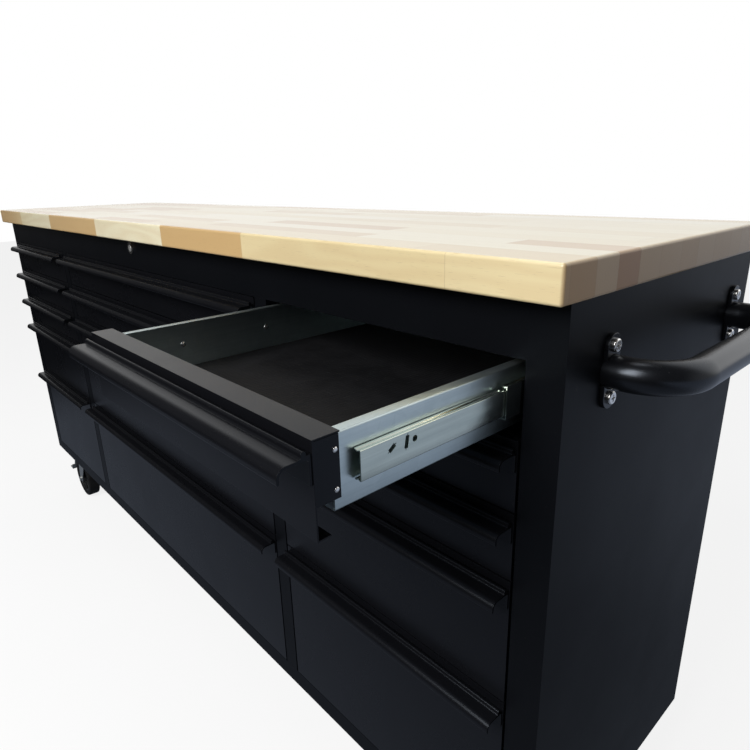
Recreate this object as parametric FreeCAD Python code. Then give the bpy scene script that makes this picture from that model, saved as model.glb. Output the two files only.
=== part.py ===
import FreeCAD, Part
import os
from math import cos, radians, sin

# Rolling tool cabinet with a butcher-block worktop and fifteen drawers.
# Units are millimetres. X runs along the length, Y from the front to the back, Z up.
# The origin is on the floor under the centre of the worktop, and the front faces -Y.
# At rest the top drawer of the right column stands open, the others are shut.

V = FreeCAD.Vector

# Worktop
worktop_length = 1830.0
worktop_depth = 460.0
worktop_thickness = 34.0
worktop_edge_round = 3.0
front_overhang = 23.0
rear_overhang = 8.0
side_overhang = 5.0

# Welded body
body_sheet = 1.2
top_rail_height = 56.0
bottom_rail_height = 30.0
row_heights = [77.0, 77.0, 77.0, 156.0, 252.0]
corner_post_width = 39.0
corner_return_depth = 50.0
divider_width = 29.0
middle_opening_width = 856.0
rail_flange_depth = 18.0
top_flange_depth = 27.0
rear_fold_width = 20.0
upright_depth = 40.0
upright_from_rear = 60.0
caster_channel_width = 120.0
caster_channel_sheet = 2.0

# Drawer fronts
front_sheet = 1.2
front_side_gap = 3.0
front_row_gap = 2.0
front_flange_depth = 22.0
front_bottom_flange = 12.0
flange_top_relief = 1.5
flange_bottom_relief = 26.0

# Drawer pulls, a rolled lip with a bead along its root and a groove behind the bead
pull_drop = 6.0
pull_back_height = 26.0
pull_back_thickness = 2.0
pull_bead_reach = 8.0
pull_bead_radius = 2.0
pull_groove_depth = 3.5
pull_step = 5.0
pull_reach = 27.0
pull_lip_height = 12.5
pull_curl_radius = 8.0
pull_wall = 2.0
pull_end_inset = 1.0

# Drawer trays
tray_sheet = 1.0
tray_depth = 380.0
tray_top_drop = 5.0
tray_bottom_rise = 11.0
tray_rim_width = 10.0
mat_thickness = 2.0
mat_clearance = 0.5

# Ball-bearing slides
slide_sheet = 1.0
slide_length = 350.0
middle_member_length = 300.0
middle_member_lag = 51.0
slide_setback = 40.0
slide_rise = 31.0
drawer_member_stand = 8.0
drawer_member_height = 24.0
slide_side_gap = 0.5
middle_lip_depth = 6.5
cabinet_lip_depth = 7.0
ball_row_gap = 2.5
ball_cage_height = 2.0
ball_cage_depth = 4.0
ball_cage_length = 120.0
ball_cage_end_inset = 10.0
ball_cage_web_gap = 0.5
tab_hole_back = 30.0
lever_slot_back = 45.0
round_hole_back = 53.5
web_hole_rise = 4.0
web_slot_width = 2.5
tab_hole_length = 10.0
lever_slot_length = 13.0
round_hole_radius = 2.6

# How far the open drawer stands out
open_pull = 229.0

# Push handle on the right end
handle_tube_radius = 16.0
handle_tube_wall = 2.0
handle_reach = 62.0
handle_bend_radius = 48.0
handle_near_leg = 74.0
handle_far_leg = 48.0
handle_drop = 74.0
tab_width = 24.0
tab_reach = 36.0
tab_thickness = 4.0
tab_tube_clearance = 0.3
handle_screw_spacing = 50.0
screw_radius = 3.0
screw_hole_clearance = 0.3
screw_length = 18.0
screw_head_radius = 6.5
screw_head_height = 3.6
screw_recess_width = 1.6
screw_recess_length = 7.0
screw_recess_depth = 2.0

# Key lock in the middle of the top rail
lock_drop = 17.0
lock_barrel_radius = 8.5
lock_barrel_length = 20.0
lock_bezel_radius = 11.0
lock_bezel_thickness = 3.0
lock_hole_clearance = 0.3
lock_plug_radius = 6.0
lock_plug_proud = 0.4
lock_cam_length = 22.0
lock_cam_width = 10.0
lock_cam_thickness = 2.0
lock_cam_gap = 0.5
key_slot_width = 1.8
key_slot_height = 7.0
key_slot_depth = 8.0

# Casters
caster_inset_x = 115.0
caster_inset_y = 48.0
wheel_radius = 62.5
wheel_width = 32.0
tyre_edge_round = 4.0
tyre_depth = 16.0
core_rim_thickness = 4.0
core_rim_inset = 2.0
core_web_thickness = 12.0
hub_radius = 14.0
hub_end_gap = 1.0
axle_radius = 4.0
axle_clearance = 0.3
axle_head_radius = 7.0
axle_head_height = 5.0
wheel_trail = 35.0
plate_length = 95.0
plate_width = 80.0
plate_thickness = 3.0
plate_bolt_inset = 12.0
plate_bolt_radius = 4.0
plate_bolt_clearance = 0.3
plate_bolt_head_radius = 6.5
plate_bolt_head_height = 4.5
swivel_boss_radius = 24.0
swivel_boss_height = 8.0
swivel_gap = 0.4
kingpin_radius = 6.0
kingpin_head_radius = 10.0
kingpin_head_height = 4.0
crown_room = 26.6
fork_sheet = 2.5
fork_crown_thickness = 3.0
fork_half_top = 26.0
fork_shoulder = 16.0
fork_boss_radius = 12.0
fork_inner_width = 38.0

# Brake pedals, bent round the tyre of each swivel caster and pressed down at rest
pedal_gap = 8.0
pedal_sheet = 3.0
pedal_width = 34.0
pedal_foot_width = 50.0
pedal_foot_length = 18.0
pedal_pivot_angle = 75.0
pedal_foot_angle = 172.0
pedal_foot_arc = 14.0
pedal_pad_angle = 106.0
pedal_pad_arc = 16.0
pedal_pad_width = 24.0
pedal_pad_gap = 0.4
pedal_pin_radius = 3.0
pedal_pin_clearance = 0.3

# Heights and planes worked out from the sizes above
body_width = worktop_length - 2 * side_overhang
body_depth = worktop_depth - front_overhang - rear_overhang
body_height = top_rail_height + sum(row_heights) + bottom_rail_height
plate_top_above_wheel = crown_room + fork_crown_thickness + swivel_gap + swivel_boss_height + plate_thickness
body_bottom = 2 * wheel_radius + plate_top_above_wheel
body_top = body_bottom + body_height
worktop_top = body_top + worktop_thickness
body_front = front_overhang - worktop_depth / 2
body_back = body_front + body_depth
body_side = body_width / 2
opening_side = body_side - corner_post_width
floor_top = body_bottom + bottom_rail_height
floor_bottom = floor_top - body_sheet
back_inner = body_back - 2 * body_sheet
post_back = body_front + body_sheet
slide_thickness = drawer_member_stand + 2 * (slide_side_gap + slide_sheet)
middle_member_height = drawer_member_height + 2 * (ball_row_gap + slide_sheet)
cabinet_member_height = middle_member_height + 2 * (ball_row_gap + slide_sheet)
slide_travel = slide_length

# The three columns, left to right, as the edges of their openings
middle_edge = middle_opening_width / 2
column_edges = {
    "left": (-opening_side, -middle_edge - divider_width),
    "middle": (-middle_edge, middle_edge),
    "right": (middle_edge + divider_width, opening_side),
}

# The rows, top to bottom, as the heights of their upper and lower edges
row_edges = []
row_top = body_top - top_rail_height
for row_height in row_heights:
    row_edges.append((row_top, row_top - row_height))
    row_top = row_top - row_height

# The one drawer that stands open, by column and row
open_drawer = ("right", 1)


def box(x0, x1, y0, y1, z0, z1):
    """A block between two corners, given in any order along X."""
    left = min(x0, x1)
    return Part.makeBox(abs(x1 - x0), y1 - y0, z1 - z0, V(left, y0, z0))


def rod_y(x, z, radius, y0, y1):
    """A round bar along Y."""
    return Part.makeCylinder(radius, y1 - y0, V(x, y0, z), V(0, 1, 0))


def rod_x(y, z, radius, x0, x1):
    """A round bar along X."""
    return Part.makeCylinder(radius, x1 - x0, V(x0, y, z), V(1, 0, 0))


def rod_z(x, y, radius, z0, z1):
    """A round bar along Z."""
    return Part.makeCylinder(radius, z1 - z0, V(x, y, z0), V(0, 0, 1))


def join(pieces):
    """One solid out of pieces that share faces or overlap."""
    return pieces[0].multiFuse(pieces[1:]).removeSplitter().Solids[0]


def outline_face(edges):
    """A flat face inside a closed run of edges."""
    return Part.Face(Part.Wire([edge.toShape() for edge in edges]))


def write(node, solids):
    """Save one node as a group of separate solids."""
    Part.makeCompound(solids).exportStep("parts/" + node + ".step")


def make_worktop():
    """The butcher-block slab with lightly rounded edges."""
    half_length = worktop_length / 2
    half_depth = worktop_depth / 2
    slab = box(-half_length, half_length, -half_depth, half_depth, body_top, worktop_top)
    return slab.makeFillet(worktop_edge_round, slab.Edges)


def handle_leg_places():
    """Y of the handle's two legs, near one first."""
    return (body_front + handle_near_leg, body_back - handle_far_leg)


def handle_screw_places():
    """Y and Z of the four screws that hold the push handle."""
    middle = body_top - handle_drop
    places = []
    for y in handle_leg_places():
        for turn in (-1, 1):
            places.append((y, middle + turn * handle_screw_spacing / 2))
    return places


def make_side_panel(side):
    """A side sheet folded round the corner post in front and over the back panel behind."""
    outer = side * body_side
    sheet_inner = side * (body_side - body_sheet)
    post_inner = side * opening_side
    return_outer = side * (opening_side + body_sheet)
    fold_inner = side * (body_side - rear_fold_width)
    pieces = [
        box(sheet_inner, outer, body_front, body_back, body_bottom, body_top),
        box(post_inner, outer, body_front, post_back, body_bottom, body_top),
        box(post_inner, return_outer, body_front, body_front + corner_return_depth, floor_top, body_top),
        box(fold_inner, outer, body_back - body_sheet, body_back, body_bottom, body_top),
        box(fold_inner, outer, body_front + corner_return_depth, body_back, body_top - body_sheet, body_top),
    ]
    return join(pieces)


def make_back_panel():
    """The rear sheet, inside the folds of the side panels, with a flange under the worktop."""
    half = body_side - body_sheet
    top = body_top - body_sheet
    pieces = [
        box(-half, half, back_inner, body_back - body_sheet, floor_top, top),
        box(-half, half, back_inner - rail_flange_depth, body_back - body_sheet, top - body_sheet, top),
    ]
    return join(pieces)


def make_floor_pan():
    """The cabinet floor, folded down all round, its front fold being the bottom rail."""
    half = body_side - body_sheet
    rear = back_inner - body_sheet
    pieces = [
        box(-half, half, post_back, body_back - body_sheet, floor_bottom, floor_top),
        box(-opening_side, opening_side, body_front, post_back, body_bottom, floor_top),
        box(-half, half, rear, back_inner, body_bottom, floor_top),
        box(-half, body_sheet - half, post_back, rear, body_bottom, floor_top),
        box(half - body_sheet, half, post_back, rear, body_bottom, floor_top),
    ]
    return join(pieces)


def make_top_rail():
    """The channel above the drawers, with the lock hole in its middle."""
    rail_bottom = body_top - top_rail_height
    top_flange_back = body_front + top_flange_depth
    pieces = [
        box(-opening_side, opening_side, body_front, post_back, rail_bottom, body_top),
        box(-opening_side, opening_side, body_front, top_flange_back, body_top - body_sheet, body_top),
    ]
    for left, right in column_edges.values():
        flange_back = body_front + rail_flange_depth
        pieces.append(box(left, right, body_front, flange_back, rail_bottom, rail_bottom + body_sheet))
    hole_radius = lock_barrel_radius + lock_hole_clearance
    hole = rod_y(0, body_top - lock_drop, hole_radius, body_front - body_sheet, post_back + body_sheet)
    return join(pieces).cut(hole).Solids[0]


def make_divider(side):
    """A hollow partition between two columns, its front face showing as a post."""
    inner = side * middle_edge
    outer = side * (middle_edge + divider_width)
    top = body_top - 2 * body_sheet
    tube = box(inner, outer, post_back, back_inner, floor_top, top)
    room = box(
        inner + side * body_sheet,
        outer - side * body_sheet,
        post_back + body_sheet,
        back_inner - body_sheet,
        floor_top,
        top,
    )
    face = box(inner, outer, body_front, post_back, floor_top, body_top - top_rail_height)
    head = box(inner, outer, post_back, body_front + top_flange_depth, top, top + body_sheet)
    return join([tube.cut(room), face, head])


def make_rear_upright(side):
    """The square tube inside a side panel that carries the rear ends of the slides."""
    inner = side * opening_side
    outer = side * (body_side - body_sheet)
    front = body_back - upright_from_rear - upright_depth
    back = body_back - upright_from_rear
    top = body_top - body_sheet
    tube = box(inner, outer, front, back, floor_top, top)
    room = box(
        inner + side * body_sheet,
        outer - side * body_sheet,
        front + body_sheet,
        back - body_sheet,
        floor_top,
        top,
    )
    return tube.cut(room).Solids[0]


def make_caster_channel(side):
    """The channel under the floor that takes the bolts of two casters."""
    middle = side * (body_side - caster_inset_x)
    left = middle - caster_channel_width / 2
    right = middle + caster_channel_width / 2
    front = post_back
    back = back_inner - body_sheet
    sheet = caster_channel_sheet
    pieces = [
        box(left, right, front, back, body_bottom, body_bottom + sheet),
        box(left, left + sheet, front, back, body_bottom, floor_bottom),
        box(right - sheet, right, front, back, body_bottom, floor_bottom),
    ]
    channel = join(pieces)
    hole_radius = plate_bolt_radius + plate_bolt_clearance
    for y in caster_rows():
        for bolt_x, bolt_y in plate_bolt_places(middle, y):
            hole = rod_z(bolt_x, bolt_y, hole_radius, body_bottom - sheet, body_bottom + 2 * sheet)
            channel = channel.cut(hole)
    return channel.Solids[0]


def make_lock_housing():
    """The fixed barrel of the key lock with its round bezel."""
    z = body_top - lock_drop
    bezel_front = body_front - lock_bezel_thickness
    barrel_back = body_front + lock_barrel_length
    bezel = rod_y(0, z, lock_bezel_radius, bezel_front, body_front)
    barrel = rod_y(0, z, lock_barrel_radius, body_front, barrel_back)
    bore_radius = lock_plug_radius + lock_hole_clearance
    bore = rod_y(0, z, bore_radius, bezel_front - 1, barrel_back + 1)
    return join([bezel, barrel]).cut(bore).Solids[0]


def make_lock_plug():
    """The turning plug with its key slot in front and its cam behind."""
    z = body_top - lock_drop
    front = body_front - lock_bezel_thickness - lock_plug_proud
    cam_front = body_front + lock_barrel_length + lock_cam_gap
    cam_back = cam_front + lock_cam_thickness
    plug = rod_y(0, z, lock_plug_radius, front, cam_back)
    half_slot = key_slot_width / 2
    half_height = key_slot_height / 2
    slot = box(-half_slot, half_slot, front, front + key_slot_depth, z - half_height, z + half_height)
    half_cam = lock_cam_width / 2
    cam = box(-half_cam, half_cam, cam_front, cam_back, z - lock_cam_length, z)
    return join([plug.cut(slot), cam])


def make_carcass():
    """Every sheet of the welded body."""
    hole_radius = screw_radius + screw_hole_clearance
    right_panel = make_side_panel(1)
    for y, z in handle_screw_places():
        hole = rod_x(y, z, hole_radius, body_side - 2 * body_sheet, body_side + 1)
        right_panel = right_panel.cut(hole).Solids[0]
    solids = [make_side_panel(-1), right_panel, make_back_panel(), make_floor_pan(), make_top_rail()]
    for side in (-1, 1):
        solids.append(make_divider(side))
        solids.append(make_rear_upright(side))
        solids.append(make_caster_channel(side))
    return solids


def make_member(wall, side, inner, outer, height, front, back, middle):
    """One slide section: a channel whose web is its outer wall and whose lips point to the tray."""
    web_inner = wall + side * (outer - slide_sheet)
    web_outer = wall + side * outer
    lip_end = wall + side * inner
    low = middle - height / 2
    high = middle + height / 2
    pieces = [
        box(web_inner, web_outer, front, back, low, high),
        box(lip_end, web_outer, front, back, low, low + slide_sheet),
        box(lip_end, web_outer, front, back, high - slide_sheet, high),
    ]
    return join(pieces)


def web_slot(wall, side, y, z, length, tilt):
    """A punched slot through the web of a drawer member."""
    depth = 2 * slide_sheet
    start = wall + side * (drawer_member_stand - depth)
    end = wall + side * (drawer_member_stand + depth)
    half = length / 2
    half_width = web_slot_width / 2
    slot = box(start, end, y - half, y + half, z - half_width, z + half_width)
    slot.rotate(V(start, y, z), V(1, 0, 0), tilt)
    return slot


def make_drawer_member(wall, side, front, middle):
    """The section on the drawer's side, with its tab hole, lever slot and round hole."""
    height = drawer_member_height
    member = make_member(wall, side, 0, drawer_member_stand, height, front, front + slide_length, middle)
    z = middle + web_hole_rise
    start = min(wall, wall + side * 2 * drawer_member_stand)
    round_hole = rod_x(front + round_hole_back, z, round_hole_radius, start, start + 2 * drawer_member_stand)
    tab_hole = web_slot(wall, side, front + tab_hole_back, z, tab_hole_length, 35)
    lever_slot = web_slot(wall, side, front + lever_slot_back, z, lever_slot_length, 80)
    return member.cut(round_hole).cut(tab_hole).cut(lever_slot).Solids[0]


def make_ball_cage(wall, side, inner, front, low):
    """A strip of balls in its cage, in the gap between two lips."""
    start = wall + side * inner
    end = wall + side * (inner + ball_cage_depth)
    return box(start, end, front, front + ball_cage_length, low, low + ball_cage_height)


def make_middle_members(column, row, shift):
    """The middle section on both sides of a drawer, with the ball cages that run in it."""
    solids = []
    outer = drawer_member_stand + slide_side_gap + slide_sheet
    inner = outer - middle_lip_depth
    middle = slide_middle(row)
    front = body_front + slide_setback + middle_member_lag + shift
    back = front + middle_member_length
    play = (ball_row_gap - ball_cage_height) / 2
    inner_cage = outer - slide_sheet - ball_cage_web_gap - ball_cage_depth
    outer_cage = inner_cage + slide_side_gap + slide_sheet
    outer_cage_front = back - ball_cage_end_inset - ball_cage_length
    for wall, side in tray_walls(column):
        solids.append(make_member(wall, side, inner, outer, middle_member_height, front, back, middle))
        for turn in (-1, 1):
            inner_centre = middle + turn * (drawer_member_height / 2 + play + ball_cage_height / 2)
            outer_centre = middle + turn * (middle_member_height / 2 + play + ball_cage_height / 2)
            inner_low = inner_centre - ball_cage_height / 2
            outer_low = outer_centre - ball_cage_height / 2
            solids.append(make_ball_cage(wall, side, inner_cage, front + ball_cage_end_inset, inner_low))
            solids.append(make_ball_cage(wall, side, outer_cage, outer_cage_front, outer_low))
    return solids


def make_cabinet_members():
    """The fixed sections of all fifteen pairs of slides."""
    solids = []
    inner = slide_thickness - cabinet_lip_depth
    front = body_front + slide_setback
    back = front + slide_length
    height = cabinet_member_height
    for column in column_edges:
        for row in range(1, len(row_heights) + 1):
            middle = slide_middle(row)
            for wall, side in tray_walls(column):
                member = make_member(wall, side, inner, slide_thickness, height, front, back, middle)
                solids.append(member)
    return solids


def front_edges(column, row):
    """Left, right, bottom and top of a drawer front."""
    left, right = column_edges[column]
    high, low = row_edges[row - 1]
    half_gap = front_row_gap / 2
    return (left + front_side_gap, right - front_side_gap, low + half_gap, high - half_gap)


def tray_walls(column):
    """X of a tray's outer faces, each with the way it faces."""
    left, right = column_edges[column]
    return ((left + slide_thickness, -1), (right - slide_thickness, 1))


def tray_heights(row):
    """Bottom and top of a tray."""
    high, low = row_edges[row - 1]
    half_gap = front_row_gap / 2
    return (low + half_gap + tray_bottom_rise, high - half_gap - tray_top_drop)


def slide_middle(row):
    """Height of the slides' centre line on a tray."""
    return tray_heights(row)[0] + slide_rise


def make_front_panel(left, right, low, high, face):
    """A folded drawer front: face, top flange, side flanges and bottom flange."""
    flange_back = face + front_flange_depth
    flange_low = low + flange_bottom_relief
    flange_high = high - flange_top_relief
    pieces = [
        box(left, right, face, face + front_sheet, low, high),
        box(left, right, face, flange_back + tray_sheet, high - front_sheet, high),
        box(left, right, face, face + front_bottom_flange, low, low + front_sheet),
        box(left, left + front_sheet, face, flange_back, flange_low, flange_high),
        box(right - front_sheet, right, face, flange_back, flange_low, flange_high),
    ]
    return join(pieces)


def make_pull(left, right, high, face):
    """The full-width pull: a back plate, a groove, a bead and a flat lip that curls down."""

    def at(reach, drop):
        return V(left + pull_end_inset, face - reach, high - pull_drop - drop)

    bead = pull_bead_radius
    root = bead * (1 - cos(radians(45)))
    lip_drop = pull_step + pull_lip_height - bead
    top_under = pull_step + pull_wall
    inner_reach = pull_reach - pull_wall
    corner = pull_back_thickness + bead
    groove_reach = pull_bead_reach - 2 * bead
    curl_start = pull_reach - pull_curl_radius
    curl_end = pull_step + pull_curl_radius
    outer_slack = pull_curl_radius * (1 - cos(radians(45)))
    inner_slack = (pull_curl_radius - pull_wall) * (1 - cos(radians(45)))
    line = Part.LineSegment
    edges = [
        line(at(0, pull_groove_depth), at(groove_reach, pull_groove_depth)),
        line(at(groove_reach, pull_groove_depth), at(groove_reach, bead)),
        Part.Arc(at(groove_reach, bead), at(pull_bead_reach - bead, 0), at(pull_bead_reach, bead)),
        line(at(pull_bead_reach, bead), at(pull_bead_reach, pull_step - bead)),
        Part.Arc(
            at(pull_bead_reach, pull_step - bead),
            at(pull_bead_reach + root, pull_step - root),
            at(pull_bead_reach + bead, pull_step),
        ),
        line(at(pull_bead_reach + bead, pull_step), at(curl_start, pull_step)),
        Part.Arc(
            at(curl_start, pull_step),
            at(pull_reach - outer_slack, pull_step + outer_slack),
            at(pull_reach, curl_end),
        ),
        line(at(pull_reach, curl_end), at(pull_reach, lip_drop)),
        Part.Arc(
            at(pull_reach, lip_drop),
            at(pull_reach - pull_wall / 2, lip_drop + pull_wall / 2),
            at(inner_reach, lip_drop),
        ),
        line(at(inner_reach, lip_drop), at(inner_reach, curl_end)),
        Part.Arc(
            at(inner_reach, curl_end),
            at(inner_reach - inner_slack, top_under + inner_slack),
            at(curl_start, top_under),
        ),
        line(at(curl_start, top_under), at(corner, top_under)),
        Part.Arc(
            at(corner, top_under),
            at(pull_back_thickness + root, top_under + root),
            at(pull_back_thickness, top_under + bead),
        ),
        line(at(pull_back_thickness, top_under + bead), at(pull_back_thickness, pull_back_height)),
        line(at(pull_back_thickness, pull_back_height), at(0, pull_back_height)),
        line(at(0, pull_back_height), at(0, pull_groove_depth)),
    ]
    return outline_face(edges).extrude(V(right - left - 2 * pull_end_inset, 0, 0))


def make_tray(column, row, face):
    """A zinc tray: floor, four walls, a rim folded inwards and tabs that meet the front's flanges."""
    left = tray_walls(column)[0][0]
    right = tray_walls(column)[1][0]
    low, high = tray_heights(row)
    front_left, front_right, front_low, front_high = front_edges(column, row)
    near = face + front_flange_depth
    far = near + tray_depth
    sheet = tray_sheet
    tab_low = front_low + flange_bottom_relief
    tab_high = front_high - flange_top_relief
    tab_front = face + front_sheet
    pieces = [
        box(left, right, near, far, low, low + sheet),
        box(left, left + sheet, near, far, low, high),
        box(right - sheet, right, near, far, low, high),
        box(left, right, near, near + sheet, low, front_high - front_sheet),
        box(left, right, far - sheet, far, low, high),
        box(left, left + tray_rim_width, near, far, high - sheet, high),
        box(right - tray_rim_width, right, near, far, high - sheet, high),
        box(left, right, far - tray_rim_width, far, high - sheet, high),
    ]
    for wall, flange in ((left, front_left + front_sheet), (right, front_right - front_sheet)):
        turn = 1 if flange < wall else -1
        pieces.append(box(wall + turn * sheet, flange, near, near + sheet, tab_low, tab_high))
        pieces.append(box(flange, flange + turn * sheet, tab_front, near + sheet, tab_low, tab_high))
    return join(pieces)


def make_mat(column, row, face):
    """The liner mat on a tray's floor."""
    inset = tray_sheet + mat_clearance
    left = tray_walls(column)[0][0] + inset
    right = tray_walls(column)[1][0] - inset
    near = face + front_flange_depth + inset
    far = face + front_flange_depth + tray_depth - inset
    low = tray_heights(row)[0] + tray_sheet
    return box(left, right, near, far, low, low + mat_thickness)


def write_drawer(column, row):
    """One drawer: its front with the pull, its tray with mat and slide sections, its middle sections."""
    shift = -open_pull if (column, row) == open_drawer else 0.0
    face = body_front + shift
    left, right, low, high = front_edges(column, row)
    place = column + "_" + str(row)
    panel = make_front_panel(left, right, low, high, face)
    write("drawer_front_" + place, [panel, make_pull(left, right, high, face)])
    tray = [make_tray(column, row, face), make_mat(column, row, face)]
    for wall, side in tray_walls(column):
        tray.append(make_drawer_member(wall, side, face + slide_setback, slide_middle(row)))
    write("drawer_tray_" + place, tray)
    write("slide_middle_" + place, make_middle_members(column, row, shift / 2))


def make_screw_tabs(y):
    """The rounded tabs above and below one end of the push handle, each bored for its screw."""
    middle = body_top - handle_drop
    far = body_side + tab_thickness
    radius = tab_width / 2
    straight = tab_reach - radius
    plate = box(body_side, far, y - radius, y + radius, middle - straight, middle + straight)
    ends = [rod_x(y, middle + turn * straight, radius, body_side, far) for turn in (-1, 1)]
    tabs = join([plate] + ends)
    tabs = tabs.cut(rod_x(y, middle, handle_tube_radius + tab_tube_clearance, body_side - 1, far + 1))
    for turn in (-1, 1):
        z = middle + turn * handle_screw_spacing / 2
        tabs = tabs.cut(rod_x(y, z, screw_radius + screw_hole_clearance, body_side - 1, far + 1))
    return tabs.Solids


def handle_path():
    """Centre line of the handle tube: out, along and back in, with a bend at each corner."""
    near, far = handle_leg_places()
    z = body_top - handle_drop
    start = body_side
    reach = body_side + handle_reach
    bend = handle_bend_radius
    slack = bend * (1 - cos(radians(45)))
    return Part.Wire([
        Part.LineSegment(V(start, near, z), V(reach - bend, near, z)).toShape(),
        Part.Arc(
            V(reach - bend, near, z),
            V(reach - slack, near + slack, z),
            V(reach, near + bend, z),
        ).toShape(),
        Part.LineSegment(V(reach, near + bend, z), V(reach, far - bend, z)).toShape(),
        Part.Arc(
            V(reach, far - bend, z),
            V(reach - slack, far - slack, z),
            V(reach - bend, far, z),
        ).toShape(),
        Part.LineSegment(V(reach - bend, far, z), V(start, far, z)).toShape(),
    ])


def make_handle_tube():
    """The bent tube of the push handle."""
    near = handle_leg_places()[0]
    start = V(body_side, near, body_top - handle_drop)
    rings = []
    for radius in (handle_tube_radius, handle_tube_radius - handle_tube_wall):
        circle = Part.Wire([Part.Circle(start, V(1, 0, 0), radius).toShape()])
        rings.append(handle_path().makePipeShell([circle], True, True))
    return rings[0].cut(rings[1]).Solids[0]


def make_side_handle():
    """The push handle as its tube and the screw tabs at both of its ends."""
    near, far = handle_leg_places()
    return [make_handle_tube()] + make_screw_tabs(near) + make_screw_tabs(far)


def make_handle_screws():
    """Four cross-recess pan-head screws through the tabs and the side panel."""
    screws = []
    seat = body_side + tab_thickness
    top = seat + screw_head_height
    for y, z in handle_screw_places():
        head = rod_x(y, z, screw_head_radius, seat, top)
        head = head.makeFillet(screw_head_height / 2, [head.Edges[0]])
        shank = rod_x(y, z, screw_radius, top - screw_length, seat)
        long_half = screw_recess_length / 2
        short_half = screw_recess_width / 2
        floor = top - screw_recess_depth
        bar = box(floor, top, y - long_half, y + long_half, z - short_half, z + short_half)
        cross_bar = box(floor, top, y - short_half, y + short_half, z - long_half, z + long_half)
        screws.append(join([head, shank]).cut(bar).cut(cross_bar).Solids[0])
    return screws


def caster_rows():
    """Y of the front and rear casters."""
    return (body_front + caster_inset_y, body_back - caster_inset_y)


def plate_bolt_places(x, y):
    """The four bolts of one caster plate."""
    half_x = plate_length / 2 - plate_bolt_inset
    half_y = plate_width / 2 - plate_bolt_inset
    return [(x + a * half_x, y + b * half_y) for a in (-1, 1) for b in (-1, 1)]


def make_plate(x, y):
    """A flat caster plate with its bolt holes."""
    half_x = plate_length / 2
    half_y = plate_width / 2
    underside = body_bottom - plate_thickness
    hole_radius = plate_bolt_radius + plate_bolt_clearance
    plate = box(x - half_x, x + half_x, y - half_y, y + half_y, underside, body_bottom)
    for bolt_x, bolt_y in plate_bolt_places(x, y):
        plate = plate.cut(rod_z(bolt_x, bolt_y, hole_radius, underside - 1, body_bottom + 1))
    return plate


def make_plate_bolts(x, y):
    """The bolts that hold one caster plate to its channel."""
    bolts = []
    seat = body_bottom - plate_thickness
    for bolt_x, bolt_y in plate_bolt_places(x, y):
        head = rod_z(bolt_x, bolt_y, plate_bolt_head_radius, seat - plate_bolt_head_height, seat)
        shank = rod_z(bolt_x, bolt_y, plate_bolt_radius, seat, floor_bottom - 2 * caster_channel_sheet)
        bolts.append(join([head, shank]))
    return bolts


def make_swivel_plate(x, y):
    """A swivel caster's plate with its bearing boss and riveted kingpin."""
    boss_top = body_bottom - plate_thickness
    boss_bottom = boss_top - swivel_boss_height
    head_top = boss_bottom - 2 * swivel_gap - fork_crown_thickness
    boss = rod_z(x, y, swivel_boss_radius, boss_bottom, boss_top)
    kingpin = rod_z(x, y, kingpin_radius, head_top - kingpin_head_height, boss_top)
    head = rod_z(x, y, kingpin_head_radius, head_top - kingpin_head_height, head_top)
    return join([make_plate(x, y), boss, kingpin, head])


def make_fork_leg(x, y0, y1, top, trail):
    """One side plate of a fork, tapering down to the axle."""
    points = [
        (-fork_half_top, top),
        (fork_half_top, top),
        (fork_half_top, top - fork_shoulder),
        (trail + fork_boss_radius, wheel_radius),
        (trail - fork_boss_radius, wheel_radius),
        (-fork_half_top, top - fork_shoulder),
        (-fork_half_top, top),
    ]
    outline = Part.makePolygon([V(x + px, y0, pz) for px, pz in points])
    leg = Part.Face(outline).extrude(V(0, y1 - y0, 0))
    return join([leg, rod_y(x + trail, wheel_radius, fork_boss_radius, y0, y1)])


def make_fork(x, y, top, trail, crown):
    """Two legs under a crown, with the axle bolt between them."""
    inner = fork_inner_width / 2
    outer = inner + fork_sheet
    pieces = [
        crown,
        make_fork_leg(x, y - outer, y - inner, top, trail),
        make_fork_leg(x, y + inner, y + outer, top, trail),
        rod_y(x + trail, wheel_radius, axle_radius, y - outer, y + outer),
        rod_y(x + trail, wheel_radius, axle_head_radius, y - outer - axle_head_height, y - outer),
        rod_y(x + trail, wheel_radius, axle_head_radius, y + outer, y + outer + axle_head_height),
    ]
    return join(pieces)


def pedal_pivot(x):
    """X and Z of the pin that a brake pedal turns on."""
    radius = wheel_radius + pedal_gap + pedal_sheet / 2
    angle = radians(pedal_pivot_angle)
    return (x - wheel_trail + radius * cos(angle), wheel_radius + radius * sin(angle))


def make_swivel_fork(x, y):
    """A swivel caster's fork, bored for the kingpin and the pedal's pin."""
    crown_top = body_bottom - plate_thickness - swivel_boss_height - swivel_gap
    crown_bottom = crown_top - fork_crown_thickness
    half_y = fork_inner_width / 2 + fork_sheet
    crown = box(x - fork_half_top, x + fork_half_top, y - half_y, y + half_y, crown_bottom, crown_top)
    fork = make_fork(x, y, crown_top, -wheel_trail, crown)
    fork = fork.cut(rod_z(x, y, kingpin_radius + swivel_gap, crown_bottom - 1, crown_top + 1))
    pin_x, pin_z = pedal_pivot(x)
    pin_hole = rod_y(pin_x, pin_z, pedal_pin_radius + pedal_pin_clearance, y - half_y - 1, y + half_y + 1)
    return fork.cut(pin_hole).Solids[0]


def make_rigid_caster(x, y):
    """A rigid caster's plate with its fork welded straight under it."""
    plate_bottom = body_bottom - plate_thickness
    return make_fork(x, y, plate_bottom, 0, make_plate(x, y))


def turned(points, x, y):
    """A ring about the Y axis from an outline of radius and width."""
    outline = Part.makePolygon([V(x + r, y + w, wheel_radius) for r, w in points + points[:1]])
    return Part.Face(outline).revolve(V(x, y, wheel_radius), V(0, 1, 0), 360)


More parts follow.
